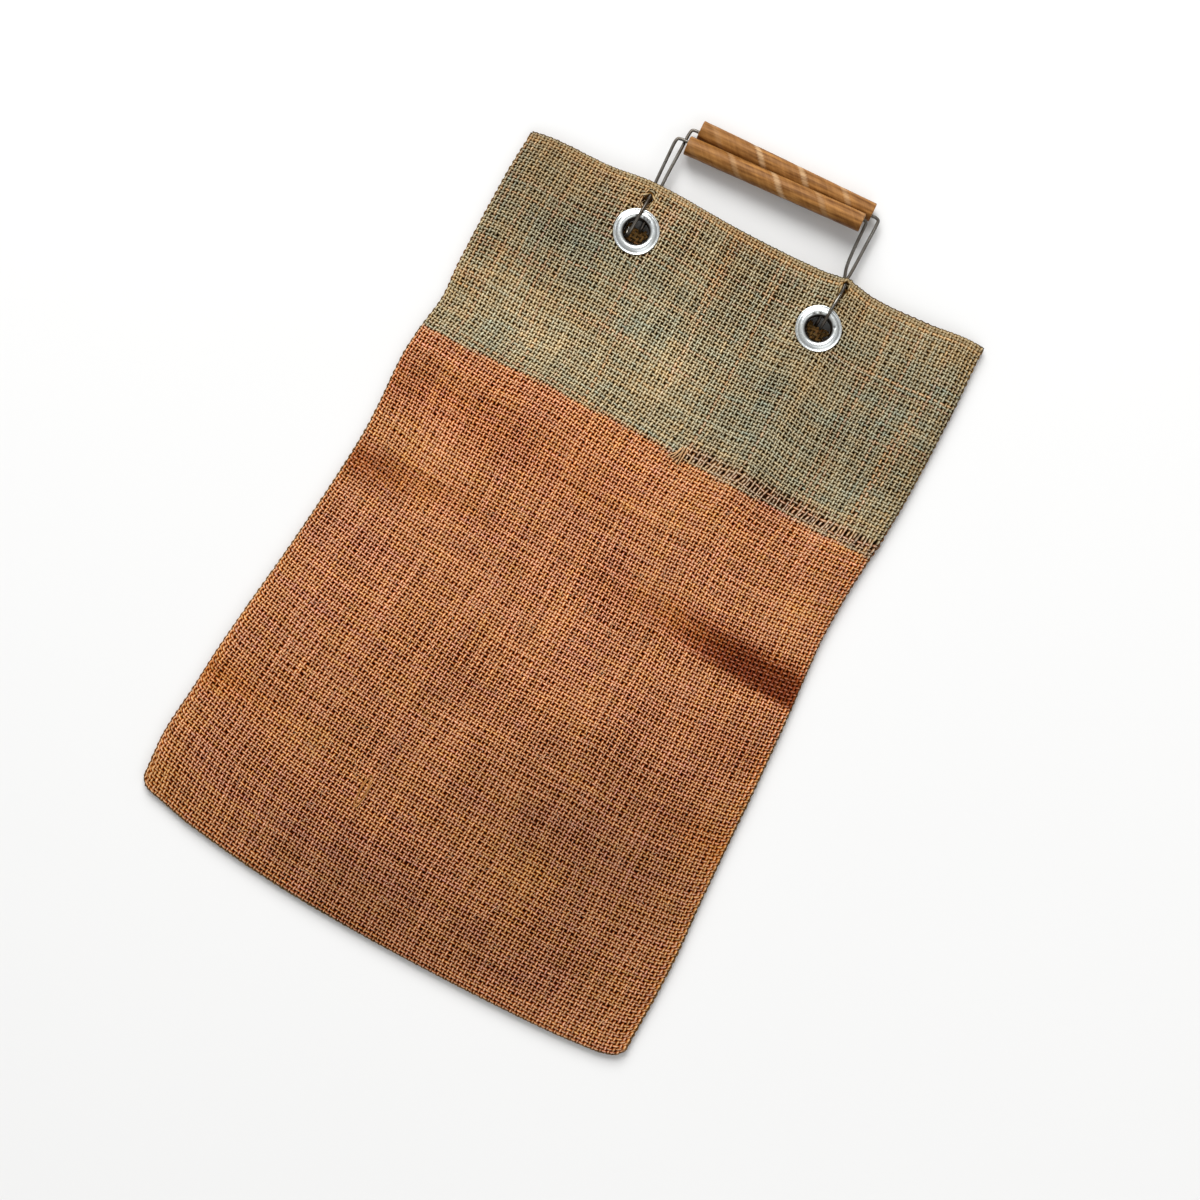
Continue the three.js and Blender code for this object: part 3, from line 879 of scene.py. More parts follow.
@dataclass
class WovenPanel:
    """One panel of plain-woven jute, thread by thread, with its edges turned in.

    At the dye line of the front panel is the ladder: a stretch where a crosswise thread is
    drawn out, and its neighbours are parted and stand open.
    """

    face: Face
    lie: BagLie
    seed: int
    ends: int = 136
    picks: int = 206
    turned: int = 2
    fine: bool = True
    thread_width: float = 1.68
    thread_height: float = 0.86
    crest_share: float = 0.58
    under_width: float = 0.82
    jitter: float = 0.05
    slack_offset: float = 0.1
    float_half: float = 0.22
    crossing: dict[Run, tuple[float, float]] = field(
        default_factory=lambda: {Run.LENGTHWISE: (0.50, -0.36), Run.CROSSWISE: (0.34, -0.46)}
    )
    run_tone: dict[Run, float] = field(
        default_factory=lambda: {Run.LENGTHWISE: 1.06, Run.CROSSWISE: 0.94}
    )
    widths: tuple[float, float] = (0.6, 1.6)
    heights: tuple[float, float] = (0.8, 1.35)
    # How much painted shade a thread's crest and lower corners get, on top and passing under.
    crest_shades: tuple[float, float] = (0.0, 1.3)
    base_shades: tuple[float, float] = (0.90, 1.1)
    mouth_drop: float = 0.0
    main_fold_shadow: MainFoldPaintedShadow = MainFoldPaintedShadow()
    dye_line: float = 68.0
    dye_sag: float = 2.0
    dye_sag_part: tuple[float, float] = (40.0, 125.0)
    dye_step: float = 0.8
    dye_step_part: tuple[float, float] = (20.0, 27.0)
    dye_blur: float = 0.8
    warmth: float = 0.6
    stain: float = 0.21
    full_crease: float = 5.0
    fold_shadow_on_edge: float = 0.35
    green_on_edge: float = 0.85
    hem_warmth: tuple[float, float] = (-0.35, 0.22)
    hem_tone: tuple[float, float] = (0.62, 0.76)
    hem_stoutness: float = 0.3
    side_turn: tuple[float, float] = (1.5, 0.2)
    mouth_turn: tuple[float, float] = (1.6, 0.3)
    mouth_roll: tuple[float, float] = (0.95, 0.35)
    rim_out: float = 0.9
    tuck_out: float = 0.5
    ladder_y: float = 72.8
    ladder_rise: float = 2.1
    ladder_from: float = 27.0
    ladder_to: float = 138.0
    ladder_thinning: float = 0.11
    slit_reach: float = 1.8
    slit_slack: float = 0.35
    slit_shade: tuple[float, float, float] = (4.0, 7.0, 0.6)
    slit_hole: float = 0.82
    barrel_hole: float = 8.35
    frayed_reach: float = 6.6
    hem_closeness: float = -0.0055
    hem_reach: float = 3.0
    centres: np.ndarray = field(init=False)
    normals: np.ndarray = field(init=False)
    loose: np.ndarray = field(init=False)
    facts: dict[str, np.ndarray] = field(init=False)
    drawn: np.ndarray = field(init=False)

    def __post_init__(self) -> None:
        """Lays out the lattice of crossings."""
        self.rng = np.random.default_rng(self.seed)
        self.shape = (self.ends + 2 * self.turned, self.picks + 2 * self.turned)
        self.lay_out()
        self.drawn = self.drawn_out()

    def drawn_out(self) -> np.ndarray:
        """Finds the crossings whose crosswise thread is drawn out, at the foot of the ladder.

        Returns:
            Whether each crossing is one.
        """
        x, y = self.centres[..., 0], self.centres[..., 1]
        inside = (x > self.ladder_from) & (x < self.ladder_to)
        if self.face is Face.BACK:
            return np.zeros(self.shape, bool)
        height = np.array([np.median(y[inside[:, row], row]) for row in range(self.shape[1])])
        upper = int(np.argmin(np.abs(height - self.ladder_y - self.ladder_rise)))
        return inside & (np.arange(self.shape[1]) == upper - 2)

    def ladder(
        self, x: np.ndarray, y: np.ndarray, ends: tuple[float, float], reach: float, power: int = 2
    ) -> np.ndarray:
        """How far places are in the ladder. It starts and is whole at the ends, in millimetres."""
        begun = smoothstep(x, self.ladder_from + ends[0], self.ladder_from + ends[1])
        return begun * np.exp(-(((y - self.ladder_y) / reach) ** power))

    def noise(self, *parts: tuple[float, float, float]) -> np.ndarray:
        """Adds up smooth noises, each by its amount and how far it reaches across and along."""
        return sum(amount * soft_field(self.rng, self.shape, reach) for amount, *reach in parts)

    def wander(self) -> tuple[np.ndarray, np.ndarray]:
        """Works out how far each crossing strays.

        Returns:
            The distances across and along, in threads.
        """
        across = self.noise((0.05, 0, 12), (0.09, 0, 1.5), (0.16, 7, 9))
        along = self.noise((0.05, 12, 0), (0.08, 1.5, 0), (0.20, 10, 7))
        near = np.minimum(*(np.minimum(k, n - 1 - k) for k, n in self.counted()))
        calm = np.clip((near - 1) / 4, 0, 1)
        return across * calm, along * calm

    def counted(self) -> tuple[tuple[np.ndarray, int], tuple[np.ndarray, int]]:
        """The lattice's column and row numbers, each with how many there are."""
        columns, rows = np.meshgrid(*(np.arange(n) for n in self.shape), indexing="ij")
        return (columns, self.shape[0]), (rows, self.shape[1])

    def lay_out(self) -> None:
        """Places every crossing on the panel, the turned edges' included."""
        (columns, _), (rows, _) = self.counted()
        across_wander, along_wander = self.wander()
        first = self.turned - 0.5
        across = np.clip((columns - first + across_wander) / self.ends, 0, 1)
        along = np.clip((rows - first + along_wander) / self.picks, 0, 1)
        along += self.hem_closeness * np.exp(-(1 - along) * self.picks / self.hem_reach)
        along = np.minimum(along / (1 + self.hem_closeness), 1)
        x, y, side, low = self.lie.spot(across, along, self.mouth_drop)
        if self.face is Face.FRONT:
            x, y = self.open_ladder(x, y)
        x, y = self.open_slits(x, y)
        z = self.lie.middle(self.face, x, y, side, low)
        x, y, z = self.turn_edges(x, y, z)
        self.centres = np.stack([x, y, z], axis=2)
        run = np.gradient(self.centres, axis=1)
        span = np.gradient(self.centres, axis=0)
        self.normals = unit(np.cross(span, run))
        self.loose = self.noise((1.0, 4.5, 5.5))
        self.facts = self.dye(x, y)

    def open_ladder(self, x: np.ndarray, y: np.ndarray) -> tuple[np.ndarray, np.ndarray]:
        """Pushes threads apart in the ladder, with some of them slanting or bunched.

        Args:
            x: places across.
            y: places along.

        Returns:
            The places after the push.
        """
        off = y - self.ladder_y
        share = self.ladder(x, y, ends=(-2, 4), reach=7.5)
        slant = 0.45 + 0.55 * np.sin(x / 9.0 + 1.2) * np.sin(x / 4.1)
        bunched = 0.45 * np.sin(x * 2 * math.pi / 8.3 + np.sin(x / 17.0))
        apart = 0.8 * np.tanh((off - self.ladder_rise) / 1.6)
        return x + share * (slant * np.tanh(off / 2.6) + bunched), y + share * apart

    def open_slits(self, x: np.ndarray, y: np.ndarray) -> tuple[np.ndarray, np.ndarray]:
        """Pushes threads apart round the pierced holes, to a ragged rim.

        Args:
            x: places across.
            y: places along.

        Returns:
            The places after the push.
        """
        reach = self.slit_reach
        for slit in SLITS[self.face]:
            u = (x - slit.x) / (slit.half_width + self.slit_slack)
            v = (y - slit.y) / slit.half_length
            off = np.maximum(np.hypot(u, v), 0.05)
            rim = 0.9 + self.noise((0.2, 1.2, 1.2))
            pushed = np.where(off < reach, rim + (off / reach) * (reach - rim), off) / off
            x = slit.x + (x - slit.x) * pushed
            y = slit.y + (y - slit.y) * pushed
        return x, y

    def turn_edges(
        self, x: np.ndarray, y: np.ndarray, z: np.ndarray
    ) -> tuple[np.ndarray, np.ndarray, np.ndarray]:
        """Rolls the sides and the bottom over to the seam, and folds the mouth's edge in.

        Args:
            x: places across.
            y: places along.
            z: heights.

        Returns:
            The places and heights with the edges turned.
        """
        (columns, wide), (rows, high) = self.counted()
        seam = self.lie.seam_lift + self.lie.cloth + self.lie.gap / 2
        rim = seam + self.face.value * self.rim_out
        tuck = seam + self.face.value * self.tuck_out
        from_side = np.minimum(columns, wide - 1 - columns)
        from_mouth = high - 1 - rows
        inward = np.where(columns < wide / 2, 1.0, -1.0)
        x = x + inward * at_edge(from_side, *self.side_turn)
        y = y + at_edge(rows, *self.side_turn) - at_edge(from_mouth, *self.mouth_turn)
        z = z - self.face.value * at_edge(from_mouth, *self.mouth_roll)
        z = np.where((from_side == 1) | (rows == 1), rim, z)
        z = np.where((from_side == 0) | (rows == 0), tuck, z)
        return x, y, z

    def dye(self, x: np.ndarray, y: np.ndarray) -> dict[str, np.ndarray]:
        """Works out the colour numbers at each crossing.

        Args:
            x: places across.
            y: places along.

        Returns:
            The named numbers that the finish reads: dye is 0 for orange and 1 for green,
            warmth 0 for pink or grey and 1 for ochre or tan, crease how much painted shade
            the place gets in a crease, on the turned edges, round the pierced holes and in
            the main fold's painted shadow, and tone how light the cloth is, lower in that shadow.
        """
        line = self.dye_line - self.dye_sag * smoothstep(-x, *self.dye_sag_part)
        line -= self.dye_step * smoothstep(x, *self.dye_step_part)
        line += self.noise((0.25, 2, 0))
        warmth = self.warmth + self.noise((0.045, 4, 1), (0.09, 1, 0)) - 0.04 * self.loose
        warmth += self.stain * patchwork(STAINS, x, y)
        (columns, wide), (rows, high) = self.counted()
        # The two outermost threads, turned under at the seam, are greener and get full painted
        # shade.
        edge = (np.minimum(columns, wide - 1 - columns) < 2) | (rows < 2)
        front = self.face is Face.FRONT
        # Painted shade: the main fold's painted shadow, weaker on the edges, the creases by their
        # depth, and a patch round each pierced hole.
        fold = front * self.main_fold_shadow.share(x, y) * np.where(edge, self.fold_shadow_on_edge, 1.0)
        depth = front * self.lie.crease_depth(x, y)
        slits = tuple(Patch(slit.x, slit.y, *self.slit_shade) for slit in SLITS[self.face])
        crease = np.clip(depth / self.full_crease, 0, 0.6) + edge + patchwork(slits, x, y)
        from_mouth = high - 1 - rows
        warmth += np.select([from_mouth < 2, from_mouth < 5], self.hem_warmth, 0.0)
        ladder = self.ladder(x, y + 0.5, ends=(-4, 2), reach=4.5, power=4)
        tone = 1 + patchwork(TONE_PATCHES, x, y) + self.noise((0.02, 7, 7))
        # The main fold's painted shadow darkens the tone as well.
        shade = 1.0 + self.main_fold_shadow.tone * fold
        tone *= np.select([from_mouth < 2, from_mouth < 4], self.hem_tone, shade)
        green = smoothstep(y - line, -self.dye_blur, self.dye_blur) * (1 - 0.4 * ladder)
        return {
            "dye": np.maximum(green, self.green_on_edge * edge),
            "warmth": warmth - 0.2 * ladder + self.main_fold_shadow.warmth * fold,
            "crease": np.clip(crease + self.main_fold_shadow.crease * fold, 0, 1.1),
            "tone": tone,
        }

    def stations(self, tubes: int, steps: int, first: int) -> tuple[np.ndarray, np.ndarray]:
        """Where the rings of each thread stand, in crossings, and which lie on top.

        A thread that passes over has two rings there, which keep its float flat, and one
        ring where it passes under. A plain panel has one at each crossing.

        Args:
            tubes: how many threads.
            steps: how many crossings each has.
            first: 0 if the first thread starts on top, or else 1.

        Returns:
            The rings' places by thread, and whether each is on top.
        """
        parity = ((np.arange(tubes) + first) % 2)[:, None]
        if not self.fine:
            place = np.broadcast_to(np.arange(steps, dtype=float), (tubes, steps))
            return place, (np.arange(steps)[None] + parity) % 2 == 0
        pair = 2.0 * np.arange(steps // 2)[None, :, None]
        half = self.float_half
        offsets = np.array([[-half, half, 1.0], [0.0, 1 - half, 1 + half]])[parity]
        above = np.array([[True, True, False], [False, True, True]])[parity]
        place = np.clip(pair + offsets, 0, steps - 1).reshape(tubes, -1)
        return place, np.broadcast_to(above, (tubes, steps // 2, 3)).reshape(tubes, -1)

    def weave(self, run: Run) -> Strands:
        """Works out one set of threads.

        Args:
            run: which way they run.

        Returns:
            The threads.
        """
        lengthwise = run is Run.LENGTHWISE
        grids = self.threads(run)
        tubes, steps = grids["width"].shape
        place, above = self.stations(tubes, steps, 0 if lengthwise else 1)
        at = {key: self.read(grid, place) for key, grid in grids.items() if key != "keep"}
        keep = grids["keep"][np.arange(tubes)[:, None], np.round(place).astype(int)]
        outward = unit(at["normal"]) * self.face.value
        over, under = self.crossing[run]
        slack = np.round(at["slack"]) * lengthwise
        offset = np.where(above, over, under) * (1 - slack) + self.slack_offset * slack
        path = at["centre"] + outward * offset[..., None]
        path = path + self.jitter * self.rng.standard_normal(path.shape)
        keep &= self.clear_of_slits(path)
        along = unit(np.gradient(path, axis=1))
        up = unit(outward - (outward * along).sum(2, keepdims=True) * along)
        wide = np.where(above, 1.0, self.under_width) * at["width"]
        across = np.cross(along, up) * wide[..., None] / 2
        crest = path + up * (self.crest_share * at["height"])[..., None]
        base = path - up * ((1 - self.crest_share) * at["height"])[..., None]
        rings = np.stack([crest, base + across, base - across], axis=2)
        # Painted shade: the crest darkens where the thread passes under, less on the ladder's
        # slack threads, and the lower corners are dark all along.
        crest_shade = np.where(above, *self.crest_shades) * (1 - 0.75 * slack)
        base_shade = np.where(above, *self.base_shades)
        values = {key: at[key] for key in ("dye", "warmth", "crease", "tone")}
        values["shade"] = np.stack([crest_shade, base_shade, base_shade], axis=2)
        return Strands(rings, keep, values)

    def threads(self, run: Run) -> dict[str, np.ndarray]:
        """Works out one set of threads' sizes and colours at each crossing.

        Args:
            run: which way they run.

        Returns:
            Named grids, by thread and by crossing along it.
        """
        rng, shape = self.rng, self.shape
        lengthwise = run is Run.LENGTHWISE
        own, long, whole = ((0, n) if lengthwise else (n, 0) for n in (4, 14, 400))
        slub = np.clip(self.noise((1.0, *own)) - 2.3, 0, 1.2)
        stout = 1 + self.noise((0.09, *own), (0.05, *whole))
        stout += self.hem_stoutness * (self.hem_rows() < (3 if lengthwise else 4))
        opened = 0.05 * self.loose + self.openness()
        width = self.thread_width * np.clip(stout - opened + 0.4 * slub, *self.widths)
        height = 1 + 0.4 * (stout - 1) + 0.3 * slub
        height = self.thread_height * np.clip(height, *self.heights)
        tone = self.run_tone[run] + self.noise((0.04, *whole), (0.04, *long), (0.06, *own))
        tone = self.facts["tone"] * (tone + 0.07 * rng.standard_normal(shape))
        warmth = self.facts["warmth"] + self.noise((0.05, *whole), (0.10, *long))
        warmth += 0.05 * rng.standard_normal(shape)
        rust = patchwork(RUSTY, self.centres[..., 0], self.centres[..., 1])
        rust = 0.38 * np.clip(self.noise((1.0, *long)) + rust - 0.8, 0, 1)
        grids = {
            "dye": self.facts["dye"] * (1 - rust),
            "warmth": np.clip(warmth, 0, 1),
            # The painted shade of folds falls more on the lengthwise threads.
            "crease": self.facts["crease"] * (1.0 if lengthwise else 0.5),
            "tone": np.clip(tone, 0.6, 1.5),
            "width": width,
            "height": height,
            "centre": self.centres,
            "normal": self.normals,
            "keep": self.clear_of_eyelets() & (lengthwise | ~self.drawn),
            "slack": self.drawn * 1.0,
        }
        return grids if lengthwise else {key: grid.swapaxes(0, 1) for key, grid in grids.items()}

    def hem_rows(self) -> np.ndarray:
        """How many rows each crossing lies inside the fold of the mouth's edge."""
        return np.broadcast_to(self.shape[1] - 2 - np.arange(self.shape[1]), self.shape)

    def clear_of_slits(self, path: np.ndarray) -> np.ndarray:
        """Cuts each thread where it would cross a pierced hole.

        Args:
            path: the threads' rings.

        Returns:
            Whether each ring is there.
        """
        middle = (path + np.roll(path, -1, axis=1)) / 2
        keep = np.ones(path.shape[:2], bool)
        for slit in SLITS[self.face]:
            for place in (path, middle):
                u = (place[..., 0] - slit.x) / slit.half_width
                v = (place[..., 1] - slit.y) / slit.half_length
                keep &= np.hypot(u, v) > self.slit_hole
        return keep

    def read(self, grid: np.ndarray, place: np.ndarray) -> np.ndarray:
        """Reads a grid of numbers or of points at places along each thread.

        Args:
            grid: numbers or points, by thread and by crossing.
            place: the places, in crossings.

        Returns:
            What the grid holds there, between crossings too.
        """
        low = np.clip(np.floor(place).astype(int), 0, grid.shape[1] - 2)
        share = place - low if grid.ndim == 2 else (place - low)[..., None]
        tube = np.arange(grid.shape[0])[:, None]
        return grid[tube, low] * (1 - share) + grid[tube, low + 1] * share

    def openness(self) -> np.ndarray:
        """How much thinner the threads are in the ladder and between the eyelets.

        Returns:
            By how much at each crossing, as a share.
        """
        x, y = self.centres[..., 0], self.centres[..., 1]
        ladder = self.ladder(x, y, ends=(0, 4), reach=3.6) * (self.face is Face.FRONT)
        return self.ladder_thinning * ladder + patchwork(THIN, x, y)

    def clear_of_eyelets(self) -> np.ndarray:
        """Finds the cloth outside the eyelets' barrels, and what is frayed in the back ones.

        Returns:
            Whether there is cloth at each crossing.
        """
        keep = np.ones(self.shape, bool)
        for at_x, at_y in EYELETS.values():
            x, y = self.centres[..., 0] - at_x, self.centres[..., 1] - at_y
            off = np.hypot(x, y)
            ragged = 0.9 * np.maximum(np.abs(x) - 2.2, 0) + 0.7 * np.sin(3 * x)
            frayed = (self.face is Face.BACK) & (y < ragged + 2.0) & (off < self.frayed_reach)
            keep &= (off > self.barrel_hole) | frayed
        return keep

    def first_green_row(self) -> int:
        """The first even row of crossings above the dye line."""
        middle = np.median(self.centres[:, :, 1], axis=0)
        return 2 * (int(np.argmax(middle > self.dye_line)) // 2)


@dataclass
class LooseFibre:
    """Fine fibres that stand up and lie about on a panel."""

    panel: WovenPanel
    count: int
    seed: int
    thickness: float = 0.085
    steps: int = 4
    lengths: tuple[float, float] = (2.5, 9.0)
    lifts: tuple[float, float] = (0.15, 0.75)
    root: float = 0.75
    foot: float = 0.5
    bow: float = 0.22
    jitter: float = 0.1
    taper: float = 0.6
    tones: tuple[float, float] = (0.9, 1.3)
    margin: int = 3
    middle_x: float = 6.0
    half_width: float = 131.0
    low_y: float = -224.0
    high_y: float = 184.0
    off_eyelets: float = 13.5

    def build(self, name: str) -> bpy.types.Object:
        """Makes the fibres as one piece.

        Args:
            name: the piece's name.

        Returns:
            The object.
        """
        rng = np.random.default_rng(self.seed)
        panel = self.panel
        wide, high = panel.shape
        column_at = rng.integers(self.margin, wide - self.margin, self.count)
        row_at = rng.integers(self.margin, high - self.margin, self.count)
        start = panel.centres[column_at, row_at]
        normal = panel.normals[column_at, row_at] * panel.face.value
        turn = rng.uniform(0, 2 * math.pi, self.count)
        heading = np.stack([np.cos(turn), np.sin(turn), np.zeros_like(turn)], axis=1)
        heading = unit(heading - (heading * normal).sum(1, keepdims=True) * normal)
        side = np.cross(normal, heading)
        length = rng.uniform(*self.lengths, self.count)[:, None]
        bow = rng.normal(0, self.bow, self.count)[:, None] * length
        lift = rng.uniform(*self.lifts, self.count)[:, None]
        t = np.linspace(0, 1, self.steps)[None, :]
        run, sway = length * t, bow * t * t
        stand = self.root + lift * np.sin(math.pi * np.minimum(t * 1.05, 1))
        stand = stand - self.foot * (t == 0)
        paths = (
            start[:, None]
            + heading[:, None] * run[..., None]
            + side[:, None] * sway[..., None]
            + normal[:, None] * stand[..., None]
        )
        paths += rng.normal(0, self.jitter, paths.shape)
        thin = self.thickness * (1 - self.taper * np.broadcast_to(t, run.shape))
        facts = {
            key: self.each_step(numbers[column_at, row_at]) for key, numbers in panel.facts.items()
        }
        facts["tone"] = self.each_step(rng.uniform(*self.tones, self.count))
        facts["shade"] = np.zeros_like(facts["tone"])
        return lattice_tubes(name, round_rings(paths, thin, 3), self.inside(paths), facts)

    def each_step(self, numbers: np.ndarray) -> np.ndarray:
        """Repeats one number for each fibre along its steps."""
        return np.repeat(numbers[:, None], self.steps, axis=1)

    def inside(self, paths: np.ndarray) -> np.ndarray:
        """Keeps whole fibres that stay inside the outline and off the eyelets.

        Args:
            paths: the fibres' points.

        Returns:
            Whether each point is there.
        """
        x, y = paths[..., 0], paths[..., 1]
        ok = (np.abs(x - self.middle_x) < self.half_width) & (y > self.low_y) & (y < self.high_y)
        for at_x, at_y in EYELETS.values():
            ok &= np.hypot(x - at_x, y - at_y) > self.off_eyelets
        return self.each_step(ok.all(axis=1))


@dataclass
class PulledThreads:
    """Single threads of a panel: the pulled tuft, the loose loop and the fold of the seam."""

    panel: WovenPanel
    tuft_at: tuple[float, float] = (24.6, 72.4)
    tuft_size: tuple[float, float] = (6.0, 9.5)
    tuft_threads: int = 9
    tuft_steps: int = 12
    loop_at: tuple[float, float] = (-40.0, -168.0)
    loop_size: tuple[float, float] = (2.1, 9.2)
    loop_steps: int = 44
    seeds: tuple[int, int, int] = (11, 12, 13)
    from_side: float = 90.0
    from_bottom: float = 150.0
    fold_inset: float = 0.35
    fold_radius: float = 0.72

    def surface(self, x: np.ndarray, y: np.ndarray) -> np.ndarray:
        """Height of the middle of the cloth at places well inside the outline."""
        side, low = np.full_like(x, self.from_side), np.full_like(x, self.from_bottom)
        return self.panel.lie.middle(self.panel.face, x, y, side, low)

    def tuft(self) -> bpy.types.Object:
        """Makes the tuft: threads drawn together from below into a fan.

        Returns:
            The object.
        """
        rng = np.random.default_rng(self.seeds[0])
        strands, steps = self.tuft_threads, self.tuft_steps
        under = (np.arange(strands) % 2)[:, None]
        t = np.linspace(0, 1, steps)[None, :]
        spread = np.linspace(-1, 0.32, strands)[:, None]
        (at_x, at_y), (wide, long) = self.tuft_at, self.tuft_size
        foot_x = at_x + spread * wide + rng.normal(0, 0.25, (strands, 1))
        foot_y = at_y - long * (1 + 0.35 * spread)
        foot_y = foot_y + rng.normal(0, 0.8, (strands, 1))
        top_x = at_x + 1.4 + 2.6 * spread + rng.normal(0, 0.2, (strands, 1))
        top_y = at_y + 1.6 + 0.9 * spread + rng.normal(0, 0.5, (strands, 1))
        x = foot_x + (top_x - foot_x) * np.sin(t * math.pi / 2) + 0.2 * np.sin(7 * t + 9 * spread)
        y = foot_y + (top_y - foot_y) * t
        z = self.surface(x, y) + 0.3 - 0.35 * under + 1.0 * np.sqrt(np.sin(math.pi * t) + 1e-6)
        paths = np.stack([x, y, z], axis=2)
        radius = (0.4 - 0.08 * under) * (0.7 + 0.3 * np.sin(math.pi * t))
        # The strands that lie under are darkened with painted shade.
        tone = rng.uniform(0.85, 1.1, (strands, 1)) * (1 - 0.55 * under)
        facts = self.facts(strands, steps, dye=0.3, warmth=0.85, tone=tone)
        facts["shade"] = np.repeat(0.25 + 0.6 * under, steps, axis=1)
        keep = np.ones((strands, steps), bool)
        return lattice_tubes("dye_line_tuft", round_rings(paths, radius, 5), keep, facts)

    def loop(self) -> bpy.types.Object:
        """Makes the loose loop.

        Returns:
            The object.
        """
        rng, steps = np.random.default_rng(self.seeds[1]), self.loop_steps
        angle = np.linspace(0.15, 2 * math.pi - 0.15, steps)[None, :]
        shrink = np.array([[1.0], [0.72]])
        x = self.loop_at[0] + self.loop_size[0] * shrink * np.sin(angle)
        y = self.loop_at[1] + self.loop_size[1] * (shrink + 0.05) * -np.cos(angle)
        z = self.surface(x, y) + 0.85 + 0.3 * np.sin(angle * 4.5)
        paths = np.stack([x, y, z], axis=2) + rng.normal(0, 0.05, (2, steps, 3))
        radius = 0.27 + 0.07 * np.sin(angle * 3 + shrink)
        facts = self.facts(2, steps, dye=0.0, warmth=1.0, tone=np.full((2, 1), 0.8))
        facts["shade"] = np.full((2, steps), 0.42)
        keep = np.ones((2, steps), bool)
        return lattice_tubes("loose_loop", round_rings(paths, radius, 6), keep, facts)

    def edge_fold(self) -> bpy.types.Object:
        """Makes the fold of the seam, a line down the sides and round the bottom darkened with
        painted shade.

        Returns:
            The object.
        """
        rng, lie = np.random.default_rng(self.seeds[2]), self.panel.lie
        long, wide = 270, 188
        side, bottom = np.linspace(0, 0.998, long), np.linspace(0, 1, wide + 2)[1:-1]
        across = np.concatenate([np.zeros(long), bottom, np.ones(long)])
        along = np.concatenate([side[::-1], np.zeros(wide), side])
        x, y, _, _ = lie.spot(across, along, 0.0)
        z = np.full_like(x, lie.seam_lift + lie.cloth + lie.gap / 2)
        line = np.stack([x, y, z], axis=1)
        along = unit(np.gradient(line, axis=0))
        inward = np.stack([-along[:, 1], along[:, 0], 0 * x], axis=1)
        inset = self.fold_inset + 0.12 * rng.standard_normal(len(x))
        line = line + inward * inset[:, None]
        radius = self.fold_radius + 0.06 * rng.standard_normal((1, len(x)))
        # Painted shade darkens the fold all along.
        facts = self.facts(1, len(x), dye=0.8, warmth=0.45, tone=np.array([[0.75]]))
        facts["shade"] = 0.72 + 0.12 * rng.standard_normal((1, len(x)))
        keep = np.ones((1, len(x)), bool)
        return lattice_tubes("seam_edge_fold", round_rings(line[None], radius, 6), keep, facts)

    def facts(
        self, tubes: int, steps: int, dye: float, warmth: float, tone: np.ndarray
    ) -> dict[str, np.ndarray]:
        """Colour numbers for a few threads of one colour.

        Args:
            tubes: how many threads.
            steps: how many points each has.
            dye: 0 for orange and 1 for green.
            warmth: 0 for pink and 1 for ochre.
            tone: how light each is.

        Returns:
            The named numbers that the finish reads.
        """
        even = np.ones((tubes, steps))
        none = np.zeros((tubes, steps))
        colour = {"dye": even * dye, "warmth": even * warmth, "tone": even * tone}
        return {**colour, "crease": none, "shade": none}


@dataclass
class Cloth:
    """Both panels of the bag, with what stands on them."""

    lie: BagLie = field(default_factory=BagLie)
    back_mouth_drop: float = 0.8
    body_size: tuple[float, float] = (0.298, 0.305)
    top_size: tuple[float, float] = (0.270, 0.128)

    def build(self) -> None:
        """Weaves and dresses both panels."""
        drop = self.back_mouth_drop
        back = WovenPanel(
            Face.BACK, self.lie, seed=23, fine=False, thread_width=1.8, mouth_drop=drop
        )
        front = WovenPanel(Face.FRONT, self.lie, seed=7)
        under = self.panel(back, "back", [], [])
        pulled = PulledThreads(front)
        fibre = LooseFibre(front, count=1200, seed=31).build("front_loose_fibre")
        extras = [fibre, pulled.tuft(), pulled.loop(), pulled.edge_fold()]
        for piece in extras:
            finish = JuteFinish(f"jute {piece.name}")
            self.dress(piece, finish, tubes=26, steps=9)
        self.panel(front, "front", extras, under)

    def panel(
        self,
        panel: WovenPanel,
        side: str,
        extras: list[bpy.types.Object],
        rests_on: list[bpy.types.Object],
    ) -> list[bpy.types.Object]:
        """Weaves one panel, the orange part and the green part, and hides the solids of its cloth.

        Args:
            panel: its lattice.
            side: front or back.
            extras: pieces that lie on it. Not used.
            rests_on: what it lies on. Not used.

        Returns:
            The lengthwise threads of both parts, which stand for the cloth.
        """
        split = panel.first_green_row()
        warp, weft = panel.weave(Run.LENGTHWISE), panel.weave(Run.CROSSWISE)
        ring = split * 3 // 2 if panel.fine else split
        every = slice(None)
        parts = (
            ("", "body", slice(0, split), slice(0, ring + 1), self.body_size),
            ("_top", "top", slice(split, None), slice(ring, None), self.top_size),
        )
        made = []
        for ending, node, rows, rings, size in parts:
            slot = f"{side}_cloth{ending}"
            long, cross = warp.take(every, rings), weft.take(rows, every)
            pieces = [
                self.piece(f"{side}_lengthwise_threads{ending}", slot, long),
                self.piece(f"{side}_crosswise_threads{ending}", slot, cross),
            ]
            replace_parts(pieces[0], f"{side}_{node}")
            made.append(pieces[0])
        return made

    def piece(self, name: str, slot: str, strands: Strands) -> bpy.types.Object:
        """Makes and dresses one set of threads.

        Args:
            name: the piece's name.
            slot: the name of the panel's cloth, whose start tells the front from the back.
            strands: the threads.

        Returns:
            The object.
        """
        made = lattice_tubes(name, *strands)
        tubes, steps = strands.keep.shape
        kind = JuteFinish if slot.startswith("front") else BackJutePaintedBounceFinish
        self.dress(made, kind(f"jute {name}"), tubes, steps)
        return made

    def dress(
        self, piece: bpy.types.Object, finish: JuteFinish, tubes: int, steps: int
    ) -> None:
        """Gives a piece its finish and its place on the bag.

        Args:
            piece: the object.
            finish: its finish.
            tubes: how many threads it has side by side.
            steps: how many crossings each has.
        """
        piece.data.materials.append(finish.material(tubes, steps))
        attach(piece, "bag")
        report(piece)


